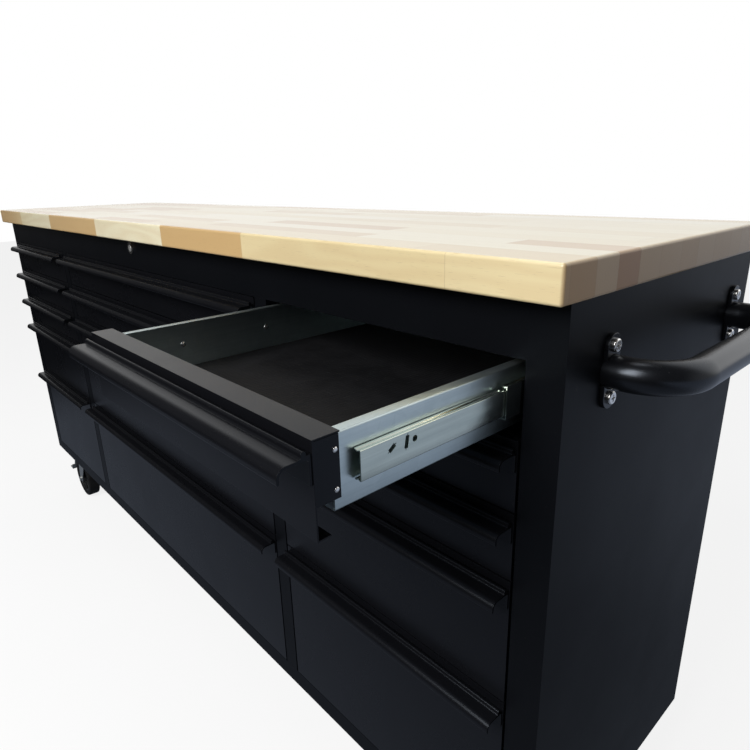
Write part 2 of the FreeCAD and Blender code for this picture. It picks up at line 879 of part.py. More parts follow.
def make_wheel(x, y):
    """A wheel as its tyre and its core."""
    half = wheel_width / 2
    tyre_inner = wheel_radius - tyre_depth
    edge = tyre_edge_round
    tyre = turned([
        (tyre_inner, -half),
        (wheel_radius - edge, -half),
        (wheel_radius - edge / 4, edge / 4 - half),
        (wheel_radius, edge - half),
        (wheel_radius, half - edge),
        (wheel_radius - edge / 4, half - edge / 4),
        (wheel_radius - edge, half),
        (tyre_inner, half),
    ], x, y)
    rim_half = half - core_rim_inset
    rim_inner = tyre_inner - core_rim_thickness
    web_half = core_web_thickness / 2
    hub_half = fork_inner_width / 2 - hub_end_gap
    bore = axle_radius + axle_clearance
    core = turned([
        (bore, -hub_half),
        (hub_radius, -hub_half),
        (hub_radius, -web_half),
        (rim_inner, -web_half),
        (rim_inner, -rim_half),
        (tyre_inner, -rim_half),
        (tyre_inner, rim_half),
        (rim_inner, rim_half),
        (rim_inner, web_half),
        (hub_radius, web_half),
        (hub_radius, hub_half),
        (bore, hub_half),
    ], x, y)
    return [tyre, core]


def sector(x, r0, r1, a0, a1, y0, y1):
    """Part of a ring round a wheel's centre, between two angles from +X towards +Z."""

    def at(radius, angle):
        return V(x + radius * cos(radians(angle)), y0, wheel_radius + radius * sin(radians(angle)))

    middle = (a0 + a1) / 2
    edges = [
        Part.Arc(at(r1, a0), at(r1, middle), at(r1, a1)),
        Part.LineSegment(at(r1, a1), at(r0, a1)),
        Part.Arc(at(r0, a1), at(r0, middle), at(r0, a0)),
        Part.LineSegment(at(r0, a0), at(r1, a0)),
    ]
    return outline_face(edges).extrude(V(0, y1 - y0, 0))


def make_brake_pedal(x, y):
    """A pedal bent round the tyre, with its pivot pin, brake pad and foot tab."""
    centre = x - wheel_trail
    inner = wheel_radius + pedal_gap
    outer = inner + pedal_sheet
    half = pedal_width / 2
    foot_half = pedal_foot_width / 2
    pad_half = pedal_pad_width / 2
    foot_start = pedal_foot_angle - pedal_foot_arc
    foot_step = 2.0
    pad_end = pedal_pad_angle + pedal_pad_arc
    pin_x, pin_z = pedal_pivot(x)
    pin_half = fork_inner_width / 2 + fork_sheet
    pieces = [
        sector(centre, inner, outer, pedal_pivot_angle, pedal_foot_angle, y - half, y + half),
        sector(centre, inner, outer, foot_start, pedal_foot_angle, y - foot_half, y + foot_half),
        sector(
            centre,
            inner,
            outer + pedal_foot_length,
            pedal_foot_angle - foot_step,
            pedal_foot_angle,
            y - foot_half,
            y + foot_half,
        ),
        sector(
            centre,
            wheel_radius + pedal_pad_gap,
            inner,
            pedal_pad_angle,
            pad_end,
            y - pad_half,
            y + pad_half,
        ),
        rod_y(pin_x, pin_z, pedal_pin_radius, y - pin_half, y + pin_half),
    ]
    return join(pieces)


def make_caster_mounts():
    """Everything of the casters that stays with the body: plates, rigid forks and bolts."""
    solids = []
    left = caster_inset_x - body_side
    right = body_side - caster_inset_x
    for y in caster_rows():
        solids.append(make_swivel_plate(left, y))
        solids.append(make_rigid_caster(right, y))
        solids.extend(make_plate_bolts(left, y))
        solids.extend(make_plate_bolts(right, y))
    return solids


def write_casters():
    """The swivel casters under the left end and the rigid ones under the right end."""
    write("caster_mounts", make_caster_mounts())
    left = caster_inset_x - body_side
    right = body_side - caster_inset_x
    for place, y in zip(("front", "rear"), caster_rows()):
        write("swivel_fork_" + place, [make_swivel_fork(left, y)])
        write("brake_pedal_" + place, [make_brake_pedal(left, y)])
        write("wheel_" + place + "_left", make_wheel(left - wheel_trail, y))
        write("wheel_" + place + "_right", make_wheel(right, y))


os.makedirs("parts", exist_ok=True)
write("worktop", [make_worktop()])
write("carcass", make_carcass())
write("cabinet_slide_members", make_cabinet_members())
write("side_handle", make_side_handle())
write("bright_fittings", make_handle_screws() + [make_lock_housing()])
write("lock_plug", [make_lock_plug()])
write_casters()
for column_name in column_edges:
    for row_number in range(1, len(row_heights) + 1):
        write_drawer(column_name, row_number)
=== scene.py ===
from math import cos, pi, radians, sin, tan

import bmesh
import bpy
from mathutils import Matrix, Vector


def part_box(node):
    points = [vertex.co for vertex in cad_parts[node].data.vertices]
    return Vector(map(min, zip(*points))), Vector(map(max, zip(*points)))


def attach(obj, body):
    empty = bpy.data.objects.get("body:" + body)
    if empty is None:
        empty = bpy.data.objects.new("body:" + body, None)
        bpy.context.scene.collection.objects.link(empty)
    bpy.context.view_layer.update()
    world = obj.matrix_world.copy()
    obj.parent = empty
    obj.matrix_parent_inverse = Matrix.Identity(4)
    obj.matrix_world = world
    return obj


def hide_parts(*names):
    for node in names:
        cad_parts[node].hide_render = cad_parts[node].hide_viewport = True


# Rolling tool cabinet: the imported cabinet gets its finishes, and its trays, slides,
# wheels and small fittings are made again in full detail. Metres, +Z up.

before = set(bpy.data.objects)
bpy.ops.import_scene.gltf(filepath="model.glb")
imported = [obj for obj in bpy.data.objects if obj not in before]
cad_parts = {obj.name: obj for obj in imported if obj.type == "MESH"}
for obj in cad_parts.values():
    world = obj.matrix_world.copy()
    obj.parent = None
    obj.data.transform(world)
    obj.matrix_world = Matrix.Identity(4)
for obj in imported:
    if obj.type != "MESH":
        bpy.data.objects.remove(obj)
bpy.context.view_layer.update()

MM = 0.001
COLUMNS = ("left", "middle", "right")
ROWS = (1, 2, 3, 4, 5)
PLACES = [column + "_" + str(row) for column in COLUMNS for row in ROWS]

# The most of a side that a bend takes up, and how far a sheet is let grow at a sharp bend
BEND_SHARE = 0.45
BEND_LIMIT = 0.5

# Edge radii of the CAD pieces, and what counts as one point or one flat face
FRONT_EDGE = 0.5 * MM
BODY_EDGE = 0.45 * MM
HANDLE_EDGE = 0.6 * MM
FITTING_EDGE = 0.25 * MM
LOCK_EDGE = 0.2 * MM
CASTER_EDGE = 0.4 * MM
WELD_REACH = 0.02 * MM
FLAT_ANGLE = 0.5
SHARP_ANGLE = 40.0

# Sheet gauges, bends and edges of the trays and their mats
TRAY_SHEET = 1.0 * MM
TRAY_BEND = 1.6 * MM
TRAY_EDGE = 0.25 * MM
RIM_WIDTH = 10.0 * MM
MAT_THICKNESS = 2.0 * MM
MAT_EDGE = 0.6 * MM
TRAY_TOP_DROP = 5.0 * MM
TAB_BOTTOM_RISE = 26.0 * MM
TAB_TOP_DROP = 1.5 * MM
FLANGE_DEPTH = 22.0 * MM
FRONT_SHEET = 1.2 * MM

# Slide sections, as distances out from the tray wall
DRAWER_STAND = 8.0 * MM
MIDDLE_WEB = 9.5 * MM
CABINET_WEB = 11.0 * MM
SLIDE_SHEET = 1.0 * MM
SLIDE_BEND = 0.9 * MM
SLIDE_EDGE = 0.15 * MM
SLIDE_SHARP_ANGLE = 55.0
DRAWER_SECTION = 24.0 * MM
MIDDLE_SECTION = 31.0 * MM
CABINET_SECTION = 38.0 * MM
SLIDE_LENGTH = 350.0 * MM
SLIDE_SETBACK = 40.0 * MM
SLIDE_RISE = 31.0 * MM

# Where each section's lips stop, and the depth of its ball groove
DRAWER_LIP = 1.0 * MM
DRAWER_RACE = 1.0 * MM
MIDDLE_LIP = 3.0 * MM
CABINET_LIP = 4.0 * MM
OUTER_RACE = 0.6 * MM

# Holes of a drawer section: each slot's distance from the section's front end, length and tilt
SLOTS = ((30.0 * MM, 10.0 * MM, 35.0), (45.0 * MM, 13.0 * MM, 80.0))
SLOT_HALF_WIDTH = 1.9 * MM
SLOT_CORNER = 1.5 * MM
ROUND_HOLE_BACK = 53.5 * MM
ROUND_HOLE_RADIUS = 2.6 * MM
ROUND_HOLE_FACETS = 24
HOLES_RISE = 4.0 * MM
PUNCH_REACH = 3.0 * MM

# Rivets in the trays and on the fronts' flanges
TRAY_RIVET_RADIUS = 3.6 * MM
TRAY_RIVET_HEIGHT = 1.6 * MM
FLANGE_RIVET_RADIUS = 2.1 * MM
FLANGE_RIVET_HEIGHT = 0.8 * MM
TRAY_RIVETS_BACK = (78.0 * MM, 197.0 * MM)
FLANGE_RIVETS_BACK = 18.5 * MM
FLANGE_RIVETS_DROP = (12.5 * MM, 42.0 * MM)
HEAD_SEGMENTS = 20
HEAD_RINGS = 10

# Ball cages of the slides
BALL_RADIUS = 1.15 * MM
BALL_SEGMENTS = 8
BALL_RINGS = 5
BALL_PITCH = 9.0 * MM
BALL_ROW_GAP = 2.5 * MM
CAGE_LENGTH = 120.0 * MM
CAGE_INSET = 10.0 * MM
CAGE_DEPTH = 4.0 * MM
CAGE_SHEET = 0.5 * MM
CAGE_EDGE = 0.12 * MM
INNER_CAGE_STAND = 6.0 * MM
OUTER_CAGE_STAND = 7.5 * MM

# Wheels
WHEEL_RADIUS = 62.5 * MM
WHEEL_WIDTH = 32.0 * MM
TYRE_DEPTH = 16.0 * MM
CORE_WEB = 12.0 * MM
HUB_RADIUS = 14.0 * MM
HUB_WIDTH = 36.0 * MM
AXLE_BORE = 4.3 * MM
TYRE_SHOULDER = 4.0 * MM
RIM_INSET = 2.0 * MM
RIM_DEPTH = 4.0 * MM
CORE_FILLET = 0.8 * MM
RIB_COUNT = 8
RIB_THICKNESS = 3.0 * MM
RIB_INSET = 2.0 * MM
RIB_BITE = 1.0 * MM
WHEEL_EDGE = 0.3 * MM
WHEEL_FACETS = 72

# Staves of the worktop: their mean size, how uneven they are, how far the rows shift against
# each other, and where the left end turns browner
STAVE_WIDTH = 0.042
STAVE_LENGTH = 0.31
WIDTH_SPREAD = 0.45
LENGTH_SPREAD = 0.75
ROW_SHIFT = 37.0
LEFT_END_BROWNER = (-0.90, -0.45, -0.45, 0.0)

# Growth rings: where their pith lies, how far it strays in Y and Z, how much the rings bend
# and how fast they follow each other, in radians per metre
PITH_PLACE = (0.0, 0.02, 0.93)
PITH_STRAYS_Y = 0.09
PITH_STRAYS_Z = 0.07
RING_BEND = 0.035
RING_PACE = 1500.0

# Glue lines, as shares of a stave's width and length, and the tones of the wood
GLUE_BESIDE = 0.006
GLUE_AT_END = 0.0011
STAVE_TONES = (
    (0.0, (0.66, 0.44, 0.20)),
    (0.3, (0.85, 0.71, 0.41)),
    (0.7, (0.94, 0.87, 0.60)),
    (1.0, (0.95, 0.90, 0.69)),
)
RING_TONE = (0.60, 0.38, 0.17)
FIBRE_TONE = (0.70, 0.47, 0.22)
PORE_TONE = (0.33, 0.19, 0.09)
GLUE_TONE = (0.38, 0.24, 0.12)
# The sawn ends' tone is partly their own darker end grain and partly painted shade
SAWN_END_TONE_AND_SHADE = (0.42, 0.30, 0.23)

# Dust on the paint, and the cool tint of what the paint mirrors
DUST_TONE = (0.30, 0.29, 0.27)
PAINT_TINT = (0.80, 0.88, 1.0, 1.0)

# Stage. The limits say how bright the floor and the walls look in shiny surfaces: from a
# low to a high distance or nearness to the way named, and the brightness at each.
FLOOR_HALF = 12.0
FLOOR_WHITE_SEEN = 0.84
FLOOR_TONES = ((0.3, (0.42, 0.42, 0.43)), (0.7, (0.46, 0.46, 0.47)))
FLOOR_SEEN_TONES = ((0.3, (0.92, 0.92, 0.92)), (0.7, (0.96, 0.96, 0.96)))
# The floor's glow in shiny surfaces is a painted reflection, not lamp light
FLOOR_SIDE_WAY = (0.74, 0.67, 0.0)
FLOOR_SIDE_LIMITS = (0.6, 1.9, 0.0, 0.50)
FLOOR_NEAR_LIMITS = (1.5, 2.6, 0.21, 0.004)
FLOOR_MIRRORED_TINT = (0.70, 0.80, 1.0)
ROOM_LIGHT = 0.22
WHITE_WALL_WAY = (-0.74, 0.67, 0.05)
WHITE_WALL_LIMITS = (0.6, 0.88, 0.06, 0.88)
SIDE_WALL_LIMITS = (0.5, 0.95, 0.0, 0.42)
BACK_WINDOW_WAY = (0.28, 0.86, 0.43)
BACK_WINDOW_LIMITS = (0.72, 0.94, 0.0, 1.3)
# Each lamp's name, place, width, power and aim
LAMPS = (
    ("front softbox", (0.5, -2.6, 2.5), 1.7, 92.0, (0.3, -0.2, 0.8)),
    ("overhead softbox", (-0.2, 0.2, 3.4), 1.6, 20.0, (0.0, 0.0, 0.9)),
)

# Camera, fitted to the photograph, whose width and focal length are in pixels
PHOTO_WIDTH = 750.0
PHOTO_FOCAL = 592.6
SENSOR_WIDTH = 36.0
CAMERA_PLACE = Vector((1.1475, -0.6323, 0.9898))
CAMERA_AZIMUTH = radians(48.005)
CAMERA_ELEVATION = radians(18.518)
CAMERA_ROLL = radians(-1.56)


def node_at(tree, kind, x, y, **settings):
    """A shader or geometry node at a place on its sheet."""
    node = tree.nodes.new(kind)
    node.location = (x, y)
    for name, value in settings.items():
        setattr(node, name, value)
    return node


def link(tree, source, target):
    """Join an output to an input."""
    tree.links.new(source, target)


def new_object(name, data):
    """An object in the scene."""
    obj = bpy.data.objects.new(name, data)
    bpy.context.scene.collection.objects.link(obj)
    return obj


def feed(tree, node, **values):
    """Fill a node's named inputs from links or plain values."""
    for name, value in values.items():
        socket = node.inputs[name.replace("_", " ")]
        if isinstance(value, bpy.types.NodeSocket):
            link(tree, value, socket)
        else:
            socket.default_value = value


def sockets(tree, inputs, outputs):
    """Name a group's sockets and their kinds, with the inputs' defaults."""
    for name, kind, value in inputs:
        made = tree.interface.new_socket(name, in_out="INPUT", socket_type="NodeSocket" + kind)
        if value is not None:
            made.default_value = value
    for name, kind in outputs:
        tree.interface.new_socket(name, in_out="OUTPUT", socket_type="NodeSocket" + kind)


def ramp(tree, x, y, stops, source):
    """A colour ramp over a value, from a list of places and colours."""
    node = node_at(tree, "ShaderNodeValToRGB", x, y)
    band = node.color_ramp
    while len(band.elements) < len(stops):
        band.elements.new(0.5)
    for element, (place, colour) in zip(band.elements, stops):
        element.position = place
        element.color = (*colour, 1.0)
    link(tree, source, node.inputs["Fac"])
    return node.outputs["Color"]


def math_node(tree, operation, x, y, first, second=None, third=None, clamp=False):
    """A Math node over links or plain numbers."""
    node = node_at(tree, "ShaderNodeMath", x, y, operation=operation, use_clamp=clamp)
    for socket, value in zip(node.inputs, (first, second, third)):
        if value is None:
            continue
        if isinstance(value, (int, float)):
            socket.default_value = value
        else:
            link(tree, value, socket)
    return node.outputs[0]


def mix_colour(tree, x, y, blend, factor, first, second):
    """A colour Mix node over links or plain colours."""
    node = node_at(tree, "ShaderNodeMix", x, y, data_type="RGBA", blend_type=blend)
    for socket, value in ((node.inputs[0], factor), (node.inputs[6], first), (node.inputs[7], second)):
        if isinstance(value, bpy.types.NodeSocket):
            link(tree, value, socket)
        elif isinstance(value, tuple):
            socket.default_value = (*value, 1.0)
        else:
            socket.default_value = value
    return node.outputs[2]


def map_range(tree, x, y, source, limits):
    """A value eased from one range to another: from low, from high, to low, to high."""
    node = node_at(tree, "ShaderNodeMapRange", x, y, interpolation_type="SMOOTHSTEP")
    for name, value in zip(("From Min", "From Max", "To Min", "To Max"), limits):
        node.inputs[name].default_value = value
    link(tree, source, node.inputs["Value"])
    return node.outputs["Result"]


def noise(tree, x, y, vector, scale, detail=3.0, roughness=0.5, distortion=0.0):
    """A noise texture read at the given coordinates."""
    node = node_at(tree, "ShaderNodeTexNoise", x, y)
    feed(tree, node, Vector=vector, Scale=scale, Detail=detail)
    feed(tree, node, Roughness=roughness, Distortion=distortion)
    return node.outputs["Fac"]


def nearness(tree, x, y, vector, way):
    """How far a vector runs along a way."""
    node = node_at(tree, "ShaderNodeVectorMath", x, y, operation="DOT_PRODUCT")
    node.inputs[1].default_value = way
    link(tree, vector, node.inputs[0])
    return node.outputs["Value"]


def length_of(tree, x, y, vector):
    """The length of a vector."""
    node = node_at(tree, "ShaderNodeVectorMath", x, y, operation="LENGTH")
    link(tree, vector, node.inputs[0])
    return node.outputs["Value"]


def cells(tree, x, y, value, spread, feature="F1"):
    """A line of values cut into uneven cells."""
    node = node_at(tree, "ShaderNodeTexVoronoi", x, y, voronoi_dimensions="1D", feature=feature)
    feed(tree, node, W=value, Scale=1.0, Randomness=spread)
    return node


def parts_of(tree, x, y, colour):
    """The three random numbers that a cell's colour holds."""
    node = node_at(tree, "ShaderNodeSeparateColor", x, y)
    link(tree, colour, node.inputs["Color"])
    return node.outputs


def stretched(tree, x, y, vector, scale):
    """Coordinates scaled along each axis."""
    node = node_at(tree, "ShaderNodeMapping", x, y)
    feed(tree, node, Vector=vector, Scale=scale)
    return node.outputs["Vector"]


def powder_coat_grain():
    """Group: the fine pebbling, soft mottling and dust of powder-coated sheet."""
    tree = bpy.data.node_groups.new("Powder coat grain", "ShaderNodeTree")
    sockets(
        tree,
        [
            ("Vector", "Vector", None),
            ("Dust", "Float", 0.3),
            ("Gloss", "Float", 0.3),
        ],
        [("Pebble", "Float"), ("Roughness", "Float"), ("Dust Mask", "Float")],
    )
    start = node_at(tree, "NodeGroupInput", -900, 0)
    end = node_at(tree, "NodeGroupOutput", 500, 0)
    where = start.outputs["Vector"]
    fine = noise(tree, -600, 250, where, 900.0, 2.0)
    coarse = noise(tree, -600, 0, where, 260.0, 2.0)
    pebble = math_node(tree, "ADD", -300, 200, fine, coarse)
    mottle = noise(tree, -600, -250, where, 9.0, 4.0, 0.6)
    specks = noise(tree, -600, -500, where, 420.0, 3.0, 0.7)
    speck_mask = math_node(tree, "GREATER_THAN", -300, -500, specks, 0.68)
    cloud = math_node(tree, "MULTIPLY", -300, -250, mottle, speck_mask)
    dust = math_node(tree, "MULTIPLY", 0, -350, cloud, start.outputs["Dust"])
    spread = math_node(tree, "MULTIPLY", 0, 0, mottle, 0.12)
    rough = math_node(tree, "ADD", 200, 50, spread, start.outputs["Gloss"])
    worn = math_node(tree, "ADD", 350, 0, rough, dust, clamp=True)
    feed(tree, end, Pebble=pebble, Roughness=worn, Dust_Mask=dust)
    return tree


def rolled_sheet_grain():
    """Group: rolling streaks, faint spangle and handling marks of zinc-coated sheet."""
    tree = bpy.data.node_groups.new("Rolled sheet grain", "ShaderNodeTree")
    sockets(
        tree,
        [
            ("Vector", "Vector", None),
            ("Streaks", "Float", 0.5),
            ("Spangle", "Float", 0.3),
            ("Gloss", "Float", 0.3),
        ],
        [("Tone", "Float"), ("Roughness", "Float"), ("Height", "Float")],
    )
    start = node_at(tree, "NodeGroupInput", -1100, 0)
    end = node_at(tree, "NodeGroupOutput", 600, 0)
    where = start.outputs["Vector"]
    lengthwise = stretched(tree, -850, 250, where, (260.0, 5.0, 260.0))
    lines = noise(tree, -600, 250, lengthwise, 1.0, 5.0, 0.65)
    crystals = node_at(tree, "ShaderNodeTexVoronoi", -600, -50)
    feed(tree, crystals, Vector=where, Scale=95.0)
    facets = parts_of(tree, -400, -50, crystals.outputs["Color"])
    marks = noise(tree, -600, -350, where, 38.0, 6.0, 0.7, 0.8)
    streak = math_node(tree, "MULTIPLY", -200, 250, lines, start.outputs["Streaks"])
    facet = math_node(tree, "MULTIPLY", -200, -50, facets[0], start.outputs["Spangle"])
    tone = math_node(tree, "ADD", 0, 100, streak, facet)
    smudge = math_node(tree, "MULTIPLY", 0, -300, marks, 0.16)
    rough = math_node(tree, "ADD", 200, -100, smudge, start.outputs["Gloss"])
    shine = math_node(tree, "MULTIPLY", 200, -300, tone, 0.1)
    final = math_node(tree, "ADD", 400, -150, rough, shine, clamp=True)
    feed(tree, end, Tone=tone, Roughness=final, Height=lines)
    return tree


def new_material(name):
    """An empty material, its tree, its shader and the object coordinates."""
    material = bpy.data.materials.new(name)
    material.use_nodes = True
    tree = material.node_tree
    shader = tree.nodes["Principled BSDF"]
    shader.location = (700, 0)
    tree.nodes["Material Output"].location = (1000, 0)
    where = node_at(tree, "ShaderNodeTexCoord", -1200, 0).outputs["Object"]
    return material, tree, shader, where


def group_node(tree, group, x, y, where, **values):
    """A shared group placed in a material, with its own values."""
    node = node_at(tree, "ShaderNodeGroup", x, y, node_tree=group)
    feed(tree, node, Vector=where, **values)
    return node


def bump(tree, x, y, height, distance, strength=1.0):
    """A Bump node over a height."""
    node = node_at(tree, "ShaderNodeBump", x, y)
    feed(tree, node, Height=height, Distance=distance, Strength=strength)
    return node.outputs["Normal"]


def dress(tree, shader, colour, rough, relief=None):
    """Join a colour, a roughness and a relief to a shader."""
    feed(tree, shader, Base_Color=colour, Roughness=rough)
    if relief is not None:
        feed(tree, shader, Normal=relief)


def powder_coat(name, dark, pale, gloss, dust, shine):
    """A powder-coated finish between a dark and a slightly paler tone."""
    material, tree, shader, where = new_material(name)
    grain = group_node(tree, GRAIN_PAINT, -700, 0, where, Dust=dust, Gloss=gloss)
    patch = noise(tree, -700, 350, where, 3.5, 3.0, 0.6)
    coat = mix_colour(tree, -300, 300, "MIX", patch, dark, pale)
    dusty = mix_colour(tree, 0, 200, "MIX", grain.outputs["Dust Mask"], coat, DUST_TONE)
    relief = bump(tree, 350, -300, grain.outputs["Pebble"], 0.02 * MM, 0.35)
    dress(tree, shader, dusty, grain.outputs["Roughness"], relief)
    shader.inputs["Specular IOR Level"].default_value = shine
    shader.inputs["Specular Tint"].default_value = PAINT_TINT
    return material


def zinc_sheet(name, dark, pale, gloss, streaks, spangle):
    """A zinc-coated steel finish."""
    material, tree, shader, where = new_material(name)
    grain = group_node(tree, GRAIN_SHEET, -700, 0, where, Streaks=streaks, Spangle=spangle, Gloss=gloss)
    colour = ramp(tree, -300, 250, [(0.2, dark), (0.65, pale)], grain.outputs["Tone"])
    relief = bump(tree, 350, -300, grain.outputs["Height"], 0.03 * MM, 0.3)
    dress(tree, shader, colour, grain.outputs["Roughness"], relief)
    shader.inputs["Metallic"].default_value = 1.0
    return material


def butcher_block(name):
    """Glued staves of pale hardwood under a clear lacquer, with rings that run through the block."""
    material, tree, shader, where = new_material(name)
    axes = node_at(tree, "ShaderNodeSeparateXYZ", -1000, 0)
    link(tree, where, axes.inputs["Vector"])

    # Each row of staves, then each stave along the row, gets its own random tone
    across = math_node(tree, "MULTIPLY", -850, 250, axes.outputs["Y"], 1 / STAVE_WIDTH)
    row = cells(tree, -700, 300, across, WIDTH_SPREAD)
    row_tone = parts_of(tree, -500, 300, row.outputs["Color"])
    along = math_node(tree, "MULTIPLY", -850, 50, axes.outputs["X"], 1 / STAVE_LENGTH)
    shifted = math_node(tree, "MULTIPLY_ADD", -350, 150, row_tone[0], ROW_SHIFT, along)
    stave = cells(tree, -200, 200, shifted, LENGTH_SPREAD)
    tones = parts_of(tree, 0, 200, stave.outputs["Color"])

    # How squarely the surface is a sawn end
    normal = node_at(tree, "ShaderNodeNewGeometry", 1400, 600)
    facing = node_at(tree, "ShaderNodeSeparateXYZ", 1600, 600)
    link(tree, normal.outputs["Normal"], facing.inputs["Vector"])
    end_grain = math_node(tree, "ABSOLUTE", 1800, 600, facing.outputs["X"])

    # Growth rings about a pith of each stave's own, bent along the length
    sway = noise(tree, -850, -450, stretched(tree, -1000, -450, where, (2.2, 9.0, 9.0)), 1.0, 3.0, 0.5)
    pith_y = math_node(tree, "MULTIPLY_ADD", 0, -100, tones[1], PITH_STRAYS_Y, axes.outputs["Y"])
    pith_z = math_node(tree, "MULTIPLY_ADD", 0, -300, tones[2], PITH_STRAYS_Z, axes.outputs["Z"])
    centre = node_at(tree, "ShaderNodeCombineXYZ", 200, -200)
    feed(tree, centre, Y=pith_y, Z=pith_z)
    moved = node_at(tree, "ShaderNodeVectorMath", 350, -200, operation="SUBTRACT")
    moved.inputs[1].default_value = PITH_PLACE
    link(tree, centre.outputs["Vector"], moved.inputs[0])
    distance = length_of(tree, 500, -200, moved.outputs["Vector"])
    bent = math_node(tree, "MULTIPLY_ADD", 650, -250, sway, RING_BEND, distance)
    phase = math_node(tree, "MULTIPLY", 800, -250, bent, RING_PACE)
    wave = math_node(tree, "SINE", 950, -250, phase)
    rings = math_node(tree, "MULTIPLY_ADD", 1100, -250, wave, 0.5, 0.5)
    fibre_space = stretched(tree, -1000, -750, where, (14.0, 700.0, 700.0))
    fibre = noise(tree, -850, -750, fibre_space, 1.0, 4.0, 0.7)
    pore_space = stretched(tree, -1000, -1000, where, (60.0, 1500.0, 1500.0))
    pores = noise(tree, -850, -1000, pore_space, 1.0, 1.0, 0.5)
    pore_mask = math_node(tree, "GREATER_THAN", -600, -1000, pores, 0.68)

    # The staves at the left end are browner
    left_end = map_range(tree, 0, 600, axes.outputs["X"], LEFT_END_BROWNER)
    tone = math_node(tree, "ADD", 150, 500, tones[0], left_end, clamp=True)
    base = ramp(tree, 200, 400, STAVE_TONES, tone)
    ring_depth = math_node(tree, "MULTIPLY_ADD", 1100, 0, end_grain, -0.13, 0.16)
    ring_share = math_node(tree, "MULTIPLY", 1250, -100, rings, ring_depth)
    ringed = mix_colour(tree, 1400, 200, "MIX", ring_share, base, RING_TONE)
    fibre_share = math_node(tree, "MULTIPLY", 1250, -450, fibre, 0.22)
    grained = mix_colour(tree, 1600, 200, "MIX", fibre_share, ringed, FIBRE_TONE)
    pore_share = math_node(tree, "MULTIPLY", 1400, -650, pore_mask, 0.25)
    pored = mix_colour(tree, 1800, 200, "MIX", pore_share, grained, PORE_TONE)

    # Thin glue lines between the rows and at each stave's ends
    row_edge = cells(tree, -700, 600, across, WIDTH_SPREAD, "DISTANCE_TO_EDGE")
    end_edge = cells(tree, -200, 600, shifted, LENGTH_SPREAD, "DISTANCE_TO_EDGE")
    row_line = math_node(tree, "LESS_THAN", -450, 600, row_edge.outputs["Distance"], GLUE_BESIDE)
    end_line = math_node(tree, "LESS_THAN", 50, 600, end_edge.outputs["Distance"], GLUE_AT_END)
    glue = math_node(tree, "MAXIMUM", 250, 650, row_line, end_line)
    glue_share = math_node(tree, "MULTIPLY", 450, 650, glue, 0.35)
    wood = mix_colour(tree, 2000, 200, "MIX", glue_share, pored, GLUE_TONE)

    # Sawn ends drink the lacquer and look browner: partly the end grain's own darker tone, partly painted
    # shade on the ends
    end_grain_and_shade_share = math_node(tree, "MULTIPLY", 2000, 600, end_grain, 0.85)
    final = mix_colour(tree, 2200, 300, "MULTIPLY", end_grain_and_shade_share, wood, SAWN_END_TONE_AND_SHADE)
    shader.location = (2600, 0)
    tree.nodes["Material Output"].location = (2900, 0)
    sheen = math_node(tree, "MULTIPLY_ADD", 2200, -100, fibre, 0.12, 0.30)
    dress(tree, shader, final, sheen, bump(tree, 2300, -350, fibre, 0.06 * MM, 0.4))
    lacquer = math_node(tree, "MULTIPLY_ADD", 2300, -600, end_grain, -0.7, 0.8)
    link(tree, lacquer, shader.inputs["Coat Weight"])
    shader.inputs["Coat Roughness"].default_value = 0.12
    return material


def bright_plating(name, tone, gloss):
    """Polished plating with faint swirls."""
    material, tree, shader, where = new_material(name)
    swirl = noise(tree, -500, 0, where, 300.0, 4.0, 0.6, 1.5)
    colour = ramp(tree, -200, 200, [(0.3, tuple(0.82 * c for c in tone)), (0.7, tone)], swirl)
    dress(tree, shader, colour, math_node(tree, "MULTIPLY_ADD", -200, -100, swirl, 0.12, gloss))
    shader.inputs["Metallic"].default_value = 1.0
    return material


def ribbed_liner(name):
    """A black rubber mat with fine ribs along its length."""
    material, tree, shader, where = new_material(name)
    ribs = node_at(tree, "ShaderNodeTexWave", -600, 0, wave_type="BANDS", bands_direction="X")
    feed(tree, ribs, Vector=where, Scale=60.0, Distortion=0.0)
    grit = noise(tree, -600, -300, where, 700.0, 3.0)
    lint = noise(tree, -600, 300, where, 22.0, 5.0, 0.7)
    colour = ramp(tree, -200, 250, [(0.35, (0.004, 0.004, 0.0048)), (0.8, (0.009, 0.009, 0.0105))], lint)
    height = math_node(tree, "MULTIPLY_ADD", -200, -150, grit, 0.3, ribs.outputs["Fac"])
    rough = math_node(tree, "MULTIPLY_ADD", -200, 0, lint, 0.2, 0.5)
    dress(tree, shader, colour, rough, bump(tree, 300, -200, height, 0.3 * MM, 0.5))
    shader.inputs["Specular IOR Level"].default_value = 0.25
    return material


def tyre_rubber(name):
    """Dark rubber with moulding grain and a grey bloom."""
    material, tree, shader, where = new_material(name)
    grit = noise(tree, -600, 0, where, 500.0, 4.0)
    bloom = noise(tree, -600, 300, where, 30.0, 5.0, 0.65)
    colour = ramp(tree, -200, 250, [(0.35, (0.005, 0.005, 0.006)), (0.75, (0.014, 0.014, 0.014))], bloom)
    rough = math_node(tree, "MULTIPLY_ADD", -200, 0, bloom, 0.25, 0.5)
    dress(tree, shader, colour, rough, bump(tree, 300, -200, grit, 0.1 * MM, 0.4))
    shader.inputs["Specular IOR Level"].default_value = 0.15
    return material


def moulded_plastic(name, dark, pale):
    """Moulded nylon of the wheel cores and the slides' ball cages."""
    material, tree, shader, where = new_material(name)
    flow = noise(tree, -600, 0, where, 40.0, 3.0)
    grit = noise(tree, -600, -300, where, 900.0, 2.0)
    colour = ramp(tree, -200, 200, [(0.3, dark), (0.7, pale)], flow)
    rough = math_node(tree, "MULTIPLY_ADD", -200, -50, flow, 0.15, 0.35)
    dress(tree, shader, colour, rough, bump(tree, 300, -200, grit, 0.03 * MM, 0.4))
    return material


